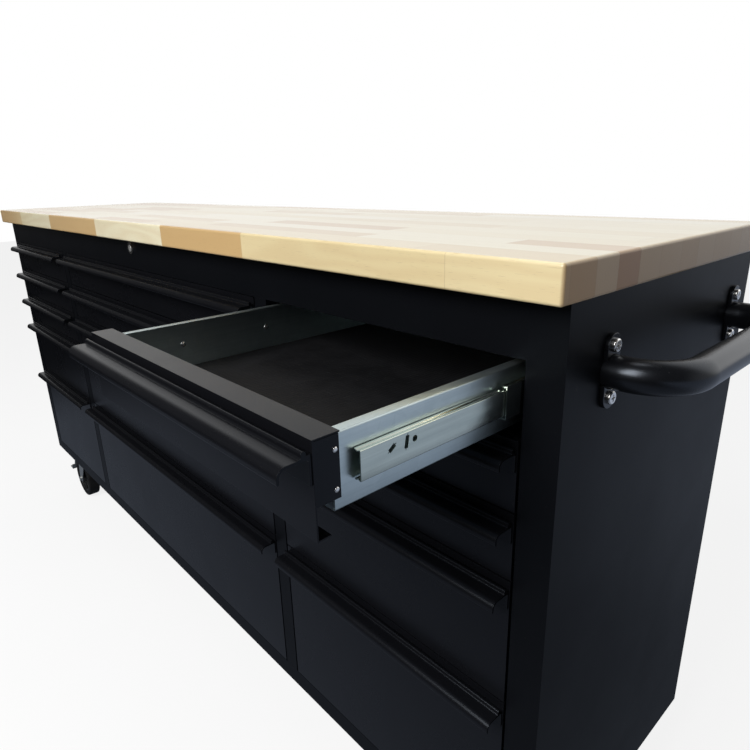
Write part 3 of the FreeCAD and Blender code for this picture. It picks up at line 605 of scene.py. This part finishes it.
GRAIN_PAINT = powder_coat_grain()
GRAIN_SHEET = rolled_sheet_grain()
BODY_COAT = powder_coat(
    "Black powder coat, body", (0.0028, 0.0032, 0.0042), (0.0048, 0.0053, 0.0068), 0.34, 0.08, 0.08
)
FRONT_COAT = powder_coat(
    "Black powder coat, fronts", (0.0035, 0.0037, 0.0048), (0.0060, 0.0063, 0.0080), 0.22, 0.10, 0.22
)
HANDLE_COAT = powder_coat(
    "Black powder coat, handle", (0.0030, 0.0032, 0.0042), (0.0050, 0.0053, 0.0066), 0.22, 0.06, 0.5
)
TRAY_ZINC = zinc_sheet("Zinc-coated tray sheet", (0.54, 0.63, 0.64), (0.74, 0.83, 0.84), 0.24, 0.5, 0.10)
SLIDE_ZINC = zinc_sheet(
    "Bright zinc slide steel", (0.56, 0.62, 0.56), (0.80, 0.86, 0.76), 0.10, 0.6, 0.02
)
CASTER_ZINC = zinc_sheet(
    "Bright zinc caster steel", (0.50, 0.51, 0.50), (0.70, 0.71, 0.70), 0.38, 0.3, 0.12
)
HARDWOOD = butcher_block("Glued hardwood staves")
PLATING = bright_plating("Nickel plating", (0.92, 0.91, 0.89), 0.20)
LOCK_NICKEL = bright_plating("Satin nickel of the lock", (0.96, 0.96, 0.95), 0.48)
LINER = ribbed_liner("Ribbed rubber liner")
TYRE = tyre_rubber("Tyre rubber")
CORE = moulded_plastic("Black nylon wheel core", (0.012, 0.012, 0.012), (0.022, 0.022, 0.022))
CAGE = moulded_plastic("Pale ball cage", (0.55, 0.56, 0.52), (0.66, 0.66, 0.62))


def round_edges(obj, width, segments=2, angle=SHARP_ANGLE):
    """A small radius on a piece's sharp edges."""
    edge = obj.modifiers.new("Edge radius", "BEVEL")
    edge.width = width
    edge.segments = segments
    edge.limit_method = "ANGLE"
    edge.angle_limit = radians(angle)
    edge.harden_normals = True


def finish_cad(node, material, bevel=0.0):
    """Give a CAD node its material, and its edges a small radius."""
    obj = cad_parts[node]
    obj.data.materials.clear()
    obj.data.materials.append(material)
    if bevel:
        weld = obj.modifiers.new("Weld", "WELD")
        weld.merge_threshold = WELD_REACH
        flat = obj.modifiers.new("Join flat faces", "DECIMATE")
        flat.decimate_type = "DISSOLVE"
        flat.angle_limit = radians(FLAT_ANGLE)
        round_edges(obj, bevel)
        even = obj.modifiers.new("Even shading", "WEIGHTED_NORMAL")
        even.keep_sharp = True


def piece(name, mesh, body, material, replaced=(), smooth=True):
    """A finished mesh as a piece that rides on a body and may stand for CAD nodes."""
    obj = new_object(name, mesh)
    if material is not None:
        mesh.materials.append(material)
    if smooth:
        mesh.shade_smooth()
    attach(obj, body)
    if replaced:
        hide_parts(*replaced)
    return obj


def mesh_from(name, build):
    """A mesh filled by a function that is given an empty bmesh."""
    bm = bmesh.new()
    build(bm)
    bmesh.ops.recalc_face_normals(bm, faces=bm.faces)
    mesh = bpy.data.meshes.new(name)
    bm.to_mesh(mesh)
    bm.free()
    return mesh


def add_block(bm, low, high):
    """A closed block between two corners."""
    size = [b - a for a, b in zip(low, high)]
    middle = [(a + b) / 2 for a, b in zip(low, high)]
    place = Matrix.Translation(middle) @ Matrix.Diagonal((*size, 1.0))
    bmesh.ops.create_cube(bm, size=1.0, matrix=place)


def rounded(corners, radius, steps=4):
    """An open run of points in a plane, each inner corner replaced by an arc."""
    points = [Vector(corners[0])]
    for before, corner, after in zip(corners, corners[1:], corners[2:]):
        corner = Vector(corner)
        back = Vector(before) - corner
        ahead = Vector(after) - corner
        longest = BEND_SHARE * min(back.length, ahead.length)
        back.normalize()
        ahead.normalize()
        half = back.angle(ahead) / 2
        reach = min(radius / tan(half), longest)
        size = reach * tan(half)
        centre = corner + (back + ahead).normalized() * (size / sin(half))
        first = corner + back * reach - centre
        last = corner + ahead * reach - centre
        sweep = first.angle_signed(last)
        for step in range(steps + 1):
            turn = -sweep * step / steps
            points.append(centre + Matrix.Rotation(turn, 2) @ first)
    points.append(Vector(corners[-1]))
    return points


def strip(points, thickness):
    """The closed outline of a sheet that lies to the left of the points along its outer side."""
    inner = []
    for index, point in enumerate(points):
        before = points[max(index - 1, 0)]
        after = points[min(index + 1, len(points) - 1)]
        along = (after - before).normalized()
        side = Vector((-along.y, along.x))
        first = (point - before).normalized() if index else along
        bend = max(first.dot(along), BEND_LIMIT)
        inner.append(point + side * thickness / bend)
    return points + inner[::-1]


def add_extrusion(bm, outline, place, start, end):
    """A closed outline carried from start to end.

    place turns a point of the outline and a distance into a corner.
    """
    rings = []
    for distance in (start, end):
        rings.append([bm.verts.new(place(point, distance)) for point in outline])
    count = len(outline)
    for index in range(count):
        after = (index + 1) % count
        bm.faces.new((rings[0][index], rings[0][after], rings[1][after], rings[1][index]))
    half = count // 2
    for ring in rings:
        for index in range(half - 1):
            bm.faces.new((ring[index], ring[index + 1], ring[count - 2 - index], ring[count - 1 - index]))


def tray_mesh(name, place):
    """A folded tray: pan with rims, front wall with its tabs, and rear wall."""
    low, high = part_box("drawer_tray_" + place)
    front_low, front_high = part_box("drawer_front_" + place)
    face = front_high.y - FLANGE_DEPTH - TRAY_SHEET
    near = face + FLANGE_DEPTH
    far = high.y
    left = front_low.x + DRAWER_STAND
    right = front_high.x - DRAWER_STAND
    top = front_high.z - TRAY_TOP_DROP
    floor = low.z
    tab_low = front_low.z + TAB_BOTTOM_RISE
    tab_high = front_high.z - TAB_TOP_DROP

    def build(bm):
        corners = [
            (left + RIM_WIDTH, top), (left, top), (left, floor),
            (right, floor), (right, top), (right - RIM_WIDTH, top),
        ]
        pan = strip(rounded(corners, TRAY_BEND), TRAY_SHEET)
        add_extrusion(bm, pan, lambda p, d: (p.x, d, p.y), near, far)
        first = left + TRAY_BEND
        last = right - TRAY_BEND
        base = floor + TRAY_SHEET
        wall_top = front_high.z - FRONT_SHEET
        add_block(bm, (first, near, base), (last, near + TRAY_SHEET, wall_top))
        add_block(bm, (first, far - TRAY_SHEET, base), (last, far, top))
        rim_low = (left + RIM_WIDTH, far - RIM_WIDTH, top - TRAY_SHEET)
        add_block(bm, rim_low, (right - RIM_WIDTH, far - TRAY_SHEET, top))
        for wall, flange in ((left, front_low.x + FRONT_SHEET), (right, front_high.x - FRONT_SHEET)):
            turn = 1 if flange < wall else -1
            ends = sorted((wall + turn * TRAY_SHEET, flange))
            add_block(bm, (ends[0], near, tab_low), (ends[1], near + TRAY_SHEET, tab_high))
            ends = sorted((flange, flange + turn * TRAY_SHEET))
            add_block(bm, (ends[0], face + FRONT_SHEET, tab_low), (ends[1], near + TRAY_SHEET, tab_high))

    return mesh_from(name, build), (left, right, near, far, floor, top, face)


def section_outline(depth, height, lip_end, race):
    """Closed outline of a slide section, from one lip's end round the web to the other's.

    depth is the web's distance from the tray wall, lip_end where its lips stop, and race
    the depth of the groove that the balls run in.
    """
    half = height / 2
    middle = (depth + lip_end) / 2
    quarter = (depth - lip_end) / 4
    upper = [
        (lip_end, half),
        (middle - quarter, half),
        (middle, half - race),
        (middle + quarter, half),
        (depth, half),
    ]
    lower = [(x, -y) for x, y in reversed(upper)]
    path = rounded(upper + lower, SLIDE_BEND, 3)
    return strip(path[::-1], SLIDE_SHEET)


def add_section(bm, outline, wall, side, middle, start, end):
    """A slide section on one side of a tray, from start to end along Y."""
    half = len(outline) // 2
    ordered = outline if side > 0 else outline[half:][::-1] + outline[:half][::-1]
    add_extrusion(bm, ordered, lambda p, d: (wall + side * p.x, d, middle + p.y), start, end)


def add_section_pair(bm, outline, low, high, start, end):
    """Slide sections on both sides of a tray, told from the box of its middle sections."""
    middle = (low.z + high.z) / 2
    add_section(bm, outline, low.x + MIDDLE_WEB, -1, middle, start, end)
    add_section(bm, outline, high.x - MIDDLE_WEB, 1, middle, start, end)


def cut_holes(obj, cutters):
    """Cut a piece with closed meshes, then drop them."""
    bm = bmesh.new()
    for cutter in cutters:
        bm.from_mesh(cutter)
        bpy.data.meshes.remove(cutter)
    mesh = bpy.data.meshes.new("cutter")
    bm.to_mesh(mesh)
    bm.free()
    tool = new_object("cutter", mesh)
    cut = obj.modifiers.new("Punched holes", "BOOLEAN")
    cut.object = tool
    cut.operation = "DIFFERENCE"
    cut.solver = "EXACT"
    graph = bpy.context.evaluated_depsgraph_get()
    made = bpy.data.meshes.new_from_object(obj.evaluated_get(graph))
    obj.modifiers.remove(cut)
    obj.data = made
    bpy.data.objects.remove(tool)
    bpy.data.meshes.remove(mesh)


def points_mesh(places):
    """Bare points, each with the way that a fitting on it faces."""
    mesh = bpy.data.meshes.new("head_places")
    mesh.from_pydata([place for place, facing in places], [], [])
    facing = mesh.attributes.new("facing", "FLOAT_VECTOR", "POINT")
    for item, (place, way) in zip(facing.data, places):
        item.vector = way
    return mesh


def round_heads_tree():
    """Geometry Nodes: a rivet head or a ball on each point, turned to face outwards."""
    tree = bpy.data.node_groups.new("Round heads", "GeometryNodeTree")
    sockets(
        tree,
        [
            ("Points", "Geometry", None),
            ("Radius", "Float", TRAY_RIVET_RADIUS),
            ("Height", "Float", TRAY_RIVET_HEIGHT),
            ("Segments", "Int", HEAD_SEGMENTS),
            ("Rings", "Int", HEAD_RINGS),
            ("Finish", "Material", None),
        ],
        [("Geometry", "Geometry")],
    )
    start = node_at(tree, "NodeGroupInput", -900, 0).outputs
    end = node_at(tree, "NodeGroupOutput", 900, 0)
    ball = node_at(tree, "GeometryNodeMeshUVSphere", -600, 200)
    feed(tree, ball, Segments=start["Segments"], Rings=start["Rings"], Radius=1.0)
    size = node_at(tree, "ShaderNodeCombineXYZ", -600, -100)
    feed(tree, size, X=start["Radius"], Y=start["Radius"], Z=start["Height"])
    way = node_at(tree, "GeometryNodeInputNamedAttribute", -600, -300, data_type="FLOAT_VECTOR")
    feed(tree, way, Name="facing")
    turn = node_at(tree, "FunctionNodeAlignRotationToVector", -300, -300, axis="Z")
    feed(tree, turn, Vector=way.outputs["Attribute"])
    dots = node_at(tree, "GeometryNodeMeshToPoints", -300, 0)
    feed(tree, dots, Mesh=start["Points"])
    place = node_at(tree, "GeometryNodeInstanceOnPoints", 0, 0)
    feed(tree, place, Points=dots.outputs["Points"], Instance=ball.outputs["Mesh"])
    feed(tree, place, Rotation=turn.outputs["Rotation"], Scale=size.outputs["Vector"])
    real = node_at(tree, "GeometryNodeRealizeInstances", 250, 0)
    feed(tree, real, Geometry=place.outputs["Instances"])
    soft = node_at(tree, "GeometryNodeSetShadeSmooth", 450, 0)
    feed(tree, soft, Geometry=real.outputs["Geometry"])
    plated = node_at(tree, "GeometryNodeSetMaterial", 650, 0)
    feed(tree, plated, Geometry=soft.outputs["Geometry"], Material=start["Finish"])
    feed(tree, end, Geometry=plated.outputs["Geometry"])
    return tree


def grown(name, mesh, tree, values):
    """The plain mesh that a Geometry Nodes tree makes of a base mesh, with the inputs' values."""
    obj = new_object(name + "_base", mesh)
    modifier = obj.modifiers.new("Nodes", "NODES")
    modifier.node_group = tree
    for item in tree.interface.items_tree:
        if item.item_type == "SOCKET" and item.in_out == "INPUT" and item.name in values:
            modifier[item.identifier] = values[item.name]
    graph = bpy.context.evaluated_depsgraph_get()
    made = bpy.data.meshes.new_from_object(obj.evaluated_get(graph))
    made.name = name
    obj.modifiers.remove(modifier)
    bpy.data.objects.remove(obj)
    return made


ROUND_HEADS = round_heads_tree()


def add_heads(name, places, body, radius, height, **shape):
    """Rivet heads or balls on a list of places, as one piece."""
    values = {"Radius": radius, "Height": height, "Finish": PLATING, **shape}
    piece(name, grown(name, points_mesh(places), ROUND_HEADS, values), body, None)


def member_holes(wall, side, front, middle):
    """Cutters for a drawer section's tab hole, lever slot and round hole."""
    across = wall + side * DRAWER_STAND
    rise = middle + HOLES_RISE
    cutters = []
    for back, length, tilt in SLOTS:
        corner = Vector((PUNCH_REACH, length / 2, SLOT_HALF_WIDTH))

        def build(bm):
            add_block(bm, -corner, corner)
            lengthwise = [e for e in bm.edges if abs(e.verts[0].co.x - e.verts[1].co.x) > PUNCH_REACH]
            bmesh.ops.bevel(bm, geom=lengthwise, offset=SLOT_CORNER, segments=4, affect="EDGES")
            turn = Matrix.Rotation(radians(tilt), 4, "X")
            shift = Matrix.Translation((across, front + back, rise))
            bmesh.ops.transform(bm, matrix=shift @ turn, verts=bm.verts)

        cutters.append(mesh_from("slot", build))

    def bore(bm):
        radius = ROUND_HOLE_RADIUS
        bmesh.ops.create_cone(
            bm, segments=ROUND_HOLE_FACETS, radius1=radius, radius2=radius,
            depth=2 * PUNCH_REACH, cap_ends=True,
        )
        turn = Matrix.Rotation(radians(90), 4, "Y")
        shift = Matrix.Translation((across, front + ROUND_HOLE_BACK, rise))
        bmesh.ops.transform(bm, matrix=shift @ turn, verts=bm.verts)

    cutters.append(mesh_from("bore", bore))
    return cutters


DRAWER_OUTLINE = section_outline(DRAWER_STAND, DRAWER_SECTION, DRAWER_LIP, DRAWER_RACE)
MIDDLE_OUTLINE = section_outline(MIDDLE_WEB, MIDDLE_SECTION, MIDDLE_LIP, OUTER_RACE)
CABINET_OUTLINE = section_outline(CABINET_WEB, CABINET_SECTION, CABINET_LIP, OUTER_RACE)


def build_drawer(place):
    """Tray, mat, slide sections and rivets of one drawer."""
    body = "drawer_" + place
    mesh, (left, right, near, far, floor, top, face) = tray_mesh("tray_" + place, place)
    tray = piece("tray_" + place, mesh, body, TRAY_ZINC, ["drawer_tray_" + place])
    round_edges(tray, TRAY_EDGE, 1)

    def lay_mat(bm):
        inset = TRAY_SHEET + TRAY_BEND
        base = floor + TRAY_SHEET
        low = (left + inset, near + inset, base)
        add_block(bm, low, (right - inset, far - inset, base + MAT_THICKNESS))

    mat = piece("mat_" + place, mesh_from("mat_" + place, lay_mat), body, LINER)
    round_edges(mat, MAT_EDGE)

    front = face + SLIDE_SETBACK
    middle = floor + SLIDE_RISE
    walls = ((left, -1), (right, 1))
    for wall, side in walls:
        name = "drawer_slide_" + place + ("_near" if side > 0 else "_far")

        def build(bm):
            add_section(bm, DRAWER_OUTLINE, wall, side, middle, front, front + SLIDE_LENGTH)

        section = piece(name, mesh_from(name, build), body, SLIDE_ZINC, smooth=False)
        cut_holes(section, member_holes(wall, side, front, middle))
        section.data.shade_smooth()
        round_edges(section, SLIDE_EDGE, 1, SLIDE_SHARP_ANGLE)

    rivets = []
    for wall, side in walls:
        for back in TRAY_RIVETS_BACK:
            rivets.append(((wall - side * TRAY_SHEET, near + back, middle), (-side, 0, 0)))
    add_heads("tray_rivets_" + place, rivets, body, TRAY_RIVET_RADIUS, TRAY_RIVET_HEIGHT)

    rivets = []
    flange_low, flange_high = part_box("drawer_front_" + place)
    for edge, side in ((flange_low.x, -1), (flange_high.x, 1)):
        for drop in FLANGE_RIVETS_DROP:
            rivets.append(((edge, face + FLANGE_RIVETS_BACK, flange_high.z - drop), (side, 0, 0)))
    add_heads("flange_rivets_" + place, rivets, body, FLANGE_RIVET_RADIUS, FLANGE_RIVET_HEIGHT)


def cage_rows(low, high):
    """Each ball cage of a drawer's slides: X and Z of its centre, and where it starts along Y."""
    rows = []
    middle = (low.z + high.z) / 2
    inner_rise = (DRAWER_SECTION + BALL_ROW_GAP) / 2
    outer_rise = (MIDDLE_SECTION + BALL_ROW_GAP) / 2
    inner_start = low.y + CAGE_INSET
    outer_start = high.y - CAGE_INSET - CAGE_LENGTH
    for wall, side in ((low.x + MIDDLE_WEB, -1), (high.x - MIDDLE_WEB, 1)):
        for turn in (-1, 1):
            rows.append((wall + side * INNER_CAGE_STAND, middle + turn * inner_rise, inner_start))
            rows.append((wall + side * OUTER_CAGE_STAND, middle + turn * outer_rise, outer_start))
    return rows


def build_middle_sections(place):
    """The middle slide sections of one drawer, with their ball cages and balls."""
    node = "slide_middle_" + place
    low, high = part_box(node)

    def build(bm):
        add_section_pair(bm, MIDDLE_OUTLINE, low, high, low.y, high.y)

    name = "middle_slides_" + place
    sections = piece(name, mesh_from(name, build), node, SLIDE_ZINC, [node])
    round_edges(sections, SLIDE_EDGE, 1, SLIDE_SHARP_ANGLE)

    rows = cage_rows(low, high)

    def build_cages(bm):
        for x, z, start in rows:
            cage_low = (x - CAGE_DEPTH / 2, start, z - CAGE_SHEET / 2)
            cage_high = (x + CAGE_DEPTH / 2, start + CAGE_LENGTH, z + CAGE_SHEET / 2)
            add_block(bm, cage_low, cage_high)

    name = "ball_cages_" + place
    cages = piece(name, mesh_from(name, build_cages), node, CAGE)
    round_edges(cages, CAGE_EDGE, 1)
    balls = []
    count = int(CAGE_LENGTH / BALL_PITCH)
    margin = (CAGE_LENGTH - (count - 1) * BALL_PITCH) / 2
    for x, z, start in rows:
        for step in range(count):
            balls.append(((x, start + margin + step * BALL_PITCH, z), (0, 0, 1)))
    shape = {"Segments": BALL_SEGMENTS, "Rings": BALL_RINGS}
    add_heads("balls_" + place, balls, node, BALL_RADIUS, BALL_RADIUS, **shape)


def build_cabinet_sections():
    """The fixed slide sections inside the cabinet."""
    low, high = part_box("cabinet_slide_members")

    def build(bm):
        for place in PLACES:
            slide_low, slide_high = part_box("slide_middle_" + place)
            add_section_pair(bm, CABINET_OUTLINE, slide_low, slide_high, low.y, high.y)

    mesh = mesh_from("cabinet_slides", build)
    sections = piece("cabinet_slides", mesh, "cabinet", SLIDE_ZINC, ["cabinet_slide_members"])
    round_edges(sections, SLIDE_EDGE, 1, SLIDE_SHARP_ANGLE)


def add_lathe(bm, outline, centre):
    """A closed outline of radius and width turned about the Y axis through the centre."""
    rings = []
    for step in range(WHEEL_FACETS):
        angle = 2 * pi * step / WHEEL_FACETS
        rings.append([
            bm.verts.new((centre.x + r * cos(angle), centre.y + w, centre.z + r * sin(angle)))
            for r, w in outline
        ])
    count = len(outline)
    for step in range(WHEEL_FACETS):
        here = rings[step]
        there = rings[(step + 1) % WHEEL_FACETS]
        for index in range(count):
            after = (index + 1) % count
            bm.faces.new((here[index], here[after], there[after], there[index]))


def ring_outline(corners, radius, steps):
    """A closed outline whose corners are all rounded."""
    middle = [(a + b) / 2 for a, b in zip(corners[0], corners[-1])]
    return [tuple(p) for p in rounded([middle] + corners + [middle], radius, steps)[:-1]]


def build_wheel(node):
    """A rubber tyre with rounded shoulders on a ribbed nylon core with a hub."""
    low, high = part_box(node)
    centre = (low + high) / 2
    half = WHEEL_WIDTH / 2
    seat = WHEEL_RADIUS - TYRE_DEPTH
    tyre_corners = [(seat, -half), (WHEEL_RADIUS, -half), (WHEEL_RADIUS, half), (seat, half)]
    tyre_outline = ring_outline(tyre_corners, TYRE_SHOULDER, 6)
    tyre_made = mesh_from("tyre_" + node, lambda bm: add_lathe(bm, tyre_outline, centre))
    tyre = piece("tyre_" + node, tyre_made, node, TYRE, [node])
    round_edges(tyre, WHEEL_EDGE, 1)

    rim_half = half - RIM_INSET
    rim_inner = seat - RIM_DEPTH
    web_half = CORE_WEB / 2
    hub_half = HUB_WIDTH / 2
    corners = [
        (AXLE_BORE, -hub_half), (HUB_RADIUS, -hub_half), (HUB_RADIUS, -web_half), (rim_inner, -web_half),
        (rim_inner, -rim_half), (seat, -rim_half), (seat, rim_half), (rim_inner, rim_half),
        (rim_inner, web_half), (HUB_RADIUS, web_half), (HUB_RADIUS, hub_half), (AXLE_BORE, hub_half),
    ]

    def build(bm):
        add_lathe(bm, ring_outline(corners, CORE_FILLET, 3), centre)
        length = rim_inner - HUB_RADIUS + RIB_BITE
        size = Matrix.Diagonal((length, 2 * (rim_half - RIB_INSET), RIB_THICKNESS, 1.0))
        out = Matrix.Translation(((rim_inner + HUB_RADIUS) / 2, 0, 0))
        for step in range(RIB_COUNT):
            turn = Matrix.Rotation(2 * pi * step / RIB_COUNT, 4, "Y")
            bmesh.ops.create_cube(bm, size=1.0, matrix=Matrix.Translation(centre) @ turn @ out @ size)

    core = piece("core_" + node, mesh_from("core_" + node, build), node, CORE)
    round_edges(core, WHEEL_EDGE, 1)


for drawer_place in PLACES:
    build_drawer(drawer_place)
    build_middle_sections(drawer_place)
    finish_cad("drawer_front_" + drawer_place, FRONT_COAT, FRONT_EDGE)

finish_cad("worktop", HARDWOOD)
finish_cad("carcass", BODY_COAT, BODY_EDGE)
build_cabinet_sections()
finish_cad("side_handle", HANDLE_COAT, HANDLE_EDGE)
finish_cad("bright_fittings", PLATING, FITTING_EDGE)
finish_cad("lock_plug", LOCK_NICKEL, LOCK_EDGE)
finish_cad("caster_mounts", CASTER_ZINC, CASTER_EDGE)
for end_name in ("front", "rear"):
    finish_cad("swivel_fork_" + end_name, CASTER_ZINC, CASTER_EDGE)
    finish_cad("brake_pedal_" + end_name, CASTER_ZINC, CASTER_EDGE)
    for side_name in ("left", "right"):
        build_wheel("wheel_" + end_name + "_" + side_name)


def ray_kinds(tree, x, y):
    """Whether a ray is glossy, and whether it is seen straight or through something clear."""
    rays = node_at(tree, "ShaderNodeLightPath", x, y).outputs
    seen = math_node(tree, "MAXIMUM", x + 200, y, rays["Is Camera Ray"], rays["Is Transmission Ray"])
    return rays["Is Glossy Ray"], seen


def build_floor():
    """A pale floor, nearly white to the eye and darker to bounced light."""
    mesh = mesh_from(
        "floor", lambda bm: bmesh.ops.create_grid(bm, x_segments=1, y_segments=1, size=FLOOR_HALF)
    )
    floor = new_object("floor", mesh)
    material, tree, shader, where = new_material("Pale studio floor")
    tint = noise(tree, -500, 0, where, 3.0, 2.0)
    colour = ramp(tree, -200, 0, FLOOR_TONES, tint)
    seen_colour = ramp(tree, -200, -300, FLOOR_SEEN_TONES, tint)
    shader.inputs["Roughness"].default_value = 0.9
    shader.inputs["Specular IOR Level"].default_value = 0.2
    white = node_at(tree, "ShaderNodeEmission", 700, -500)
    blend = node_at(tree, "ShaderNodeMixShader", 1000, -200)
    glossy, seen = ray_kinds(tree, 100, -700)
    share = math_node(tree, "MULTIPLY", 500, -700, seen, FLOOR_WHITE_SEEN)
    link(tree, mix_colour(tree, 100, 0, "MIX", seen, colour, seen_colour), shader.inputs["Base Color"])
    link(tree, math_node(tree, "MAXIMUM", 700, -800, share, glossy), blend.inputs[0])

    # Shiny surfaces see the floor glowing at the back right and close by, a painted reflection, and dark
    # elsewhere
    sideways = nearness(tree, -300, -1000, where, FLOOR_SIDE_WAY)
    side = map_range(tree, -50, -1000, sideways, FLOOR_SIDE_LIMITS)
    away = length_of(tree, -300, -1250, where)
    near = map_range(tree, -50, -1250, away, FLOOR_NEAR_LIMITS)
    mirrored = math_node(tree, "MAXIMUM", 200, -1100, side, near)
    floor_glow = math_node(tree, "MAXIMUM", 450, -1000, mirrored, seen)
    cool = mix_colour(tree, 450, -1250, "MIX", seen, FLOOR_MIRRORED_TINT, (1.0, 1.0, 1.0))
    feed(tree, white, Strength=floor_glow, Color=cool)
    link(tree, shader.outputs[0], blend.inputs[1])
    link(tree, white.outputs[0], blend.inputs[2])
    link(tree, blend.outputs[0], tree.nodes["Material Output"].inputs["Surface"])
    mesh.materials.append(material)


def build_room():
    """The white surround, which shiny surfaces see as a room with three lit walls."""
    world = bpy.data.worlds.new("Studio")
    bpy.context.scene.world = world
    world.use_nodes = True
    sky = world.node_tree
    background = sky.nodes["Background"]
    glossy, seen = ray_kinds(sky, -900, 0)

    # A white wall at the back left, a dimmer one at the back right, a high window between
    # them, and the dark room in front
    way = node_at(sky, "ShaderNodeTexCoord", -1300, -300).outputs["Generated"]
    toward = nearness(sky, -1100, -300, way, WHITE_WALL_WAY)
    wall = map_range(sky, -900, -300, toward, WHITE_WALL_LIMITS)
    beside = nearness(sky, -1100, -600, way, FLOOR_SIDE_WAY)
    side_wall = map_range(sky, -900, -600, beside, SIDE_WALL_LIMITS)
    behind = nearness(sky, -1100, -900, way, BACK_WINDOW_WAY)
    window = map_range(sky, -900, -900, behind, BACK_WINDOW_LIMITS)
    lit_side = math_node(sky, "MAXIMUM", -850, -700, side_wall, window)
    walls = math_node(sky, "MAXIMUM", -800, -450, wall, lit_side)
    mirrored = math_node(sky, "MULTIPLY", -700, -200, glossy, walls)
    other = math_node(sky, "SUBTRACT", -700, -400, 1.0, glossy)
    room = math_node(sky, "MULTIPLY", -500, -400, other, ROOM_LIGHT)
    plain = math_node(sky, "MAXIMUM", -500, 0, seen, mirrored)
    strength = math_node(sky, "MAXIMUM", -300, 0, plain, room)
    feed(sky, background, Strength=strength, Color=(1.0, 1.0, 1.0, 1.0))


def build_lamps():
    """Two soft lamps, in front of the cabinet and over it."""
    for name, place, size, power, aim in LAMPS:
        lamp = bpy.data.lights.new(name, "AREA")
        lamp.size = size
        lamp.energy = power
        holder = new_object(name, lamp)
        holder.location = place
        holder.rotation_euler = (Vector(aim) - Vector(place)).to_track_quat("-Z", "Y").to_euler()


def build_camera():
    """The camera at the photograph's viewpoint."""
    data = bpy.data.cameras.new("camera")
    data.lens = PHOTO_FOCAL / PHOTO_WIDTH * SENSOR_WIDTH
    data.sensor_width = SENSOR_WIDTH
    data.clip_start = 0.01
    data.clip_end = 100.0
    camera = new_object("camera", data)
    back = Vector((
        sin(CAMERA_AZIMUTH) * cos(CAMERA_ELEVATION),
        -cos(CAMERA_AZIMUTH) * cos(CAMERA_ELEVATION),
        sin(CAMERA_ELEVATION),
    ))
    right = (-back).cross(Vector((0, 0, 1))).normalized()
    up = right.cross(-back)
    rolled_right = right * cos(CAMERA_ROLL) + up * sin(CAMERA_ROLL)
    rolled_up = up * cos(CAMERA_ROLL) - right * sin(CAMERA_ROLL)
    turn = Matrix((rolled_right, rolled_up, back)).transposed()
    camera.matrix_world = Matrix.Translation(CAMERA_PLACE) @ turn.to_4x4()
    bpy.context.scene.camera = camera


build_floor()
build_room()
build_lamps()
build_camera()
bpy.context.scene.view_settings.view_transform = "Standard"
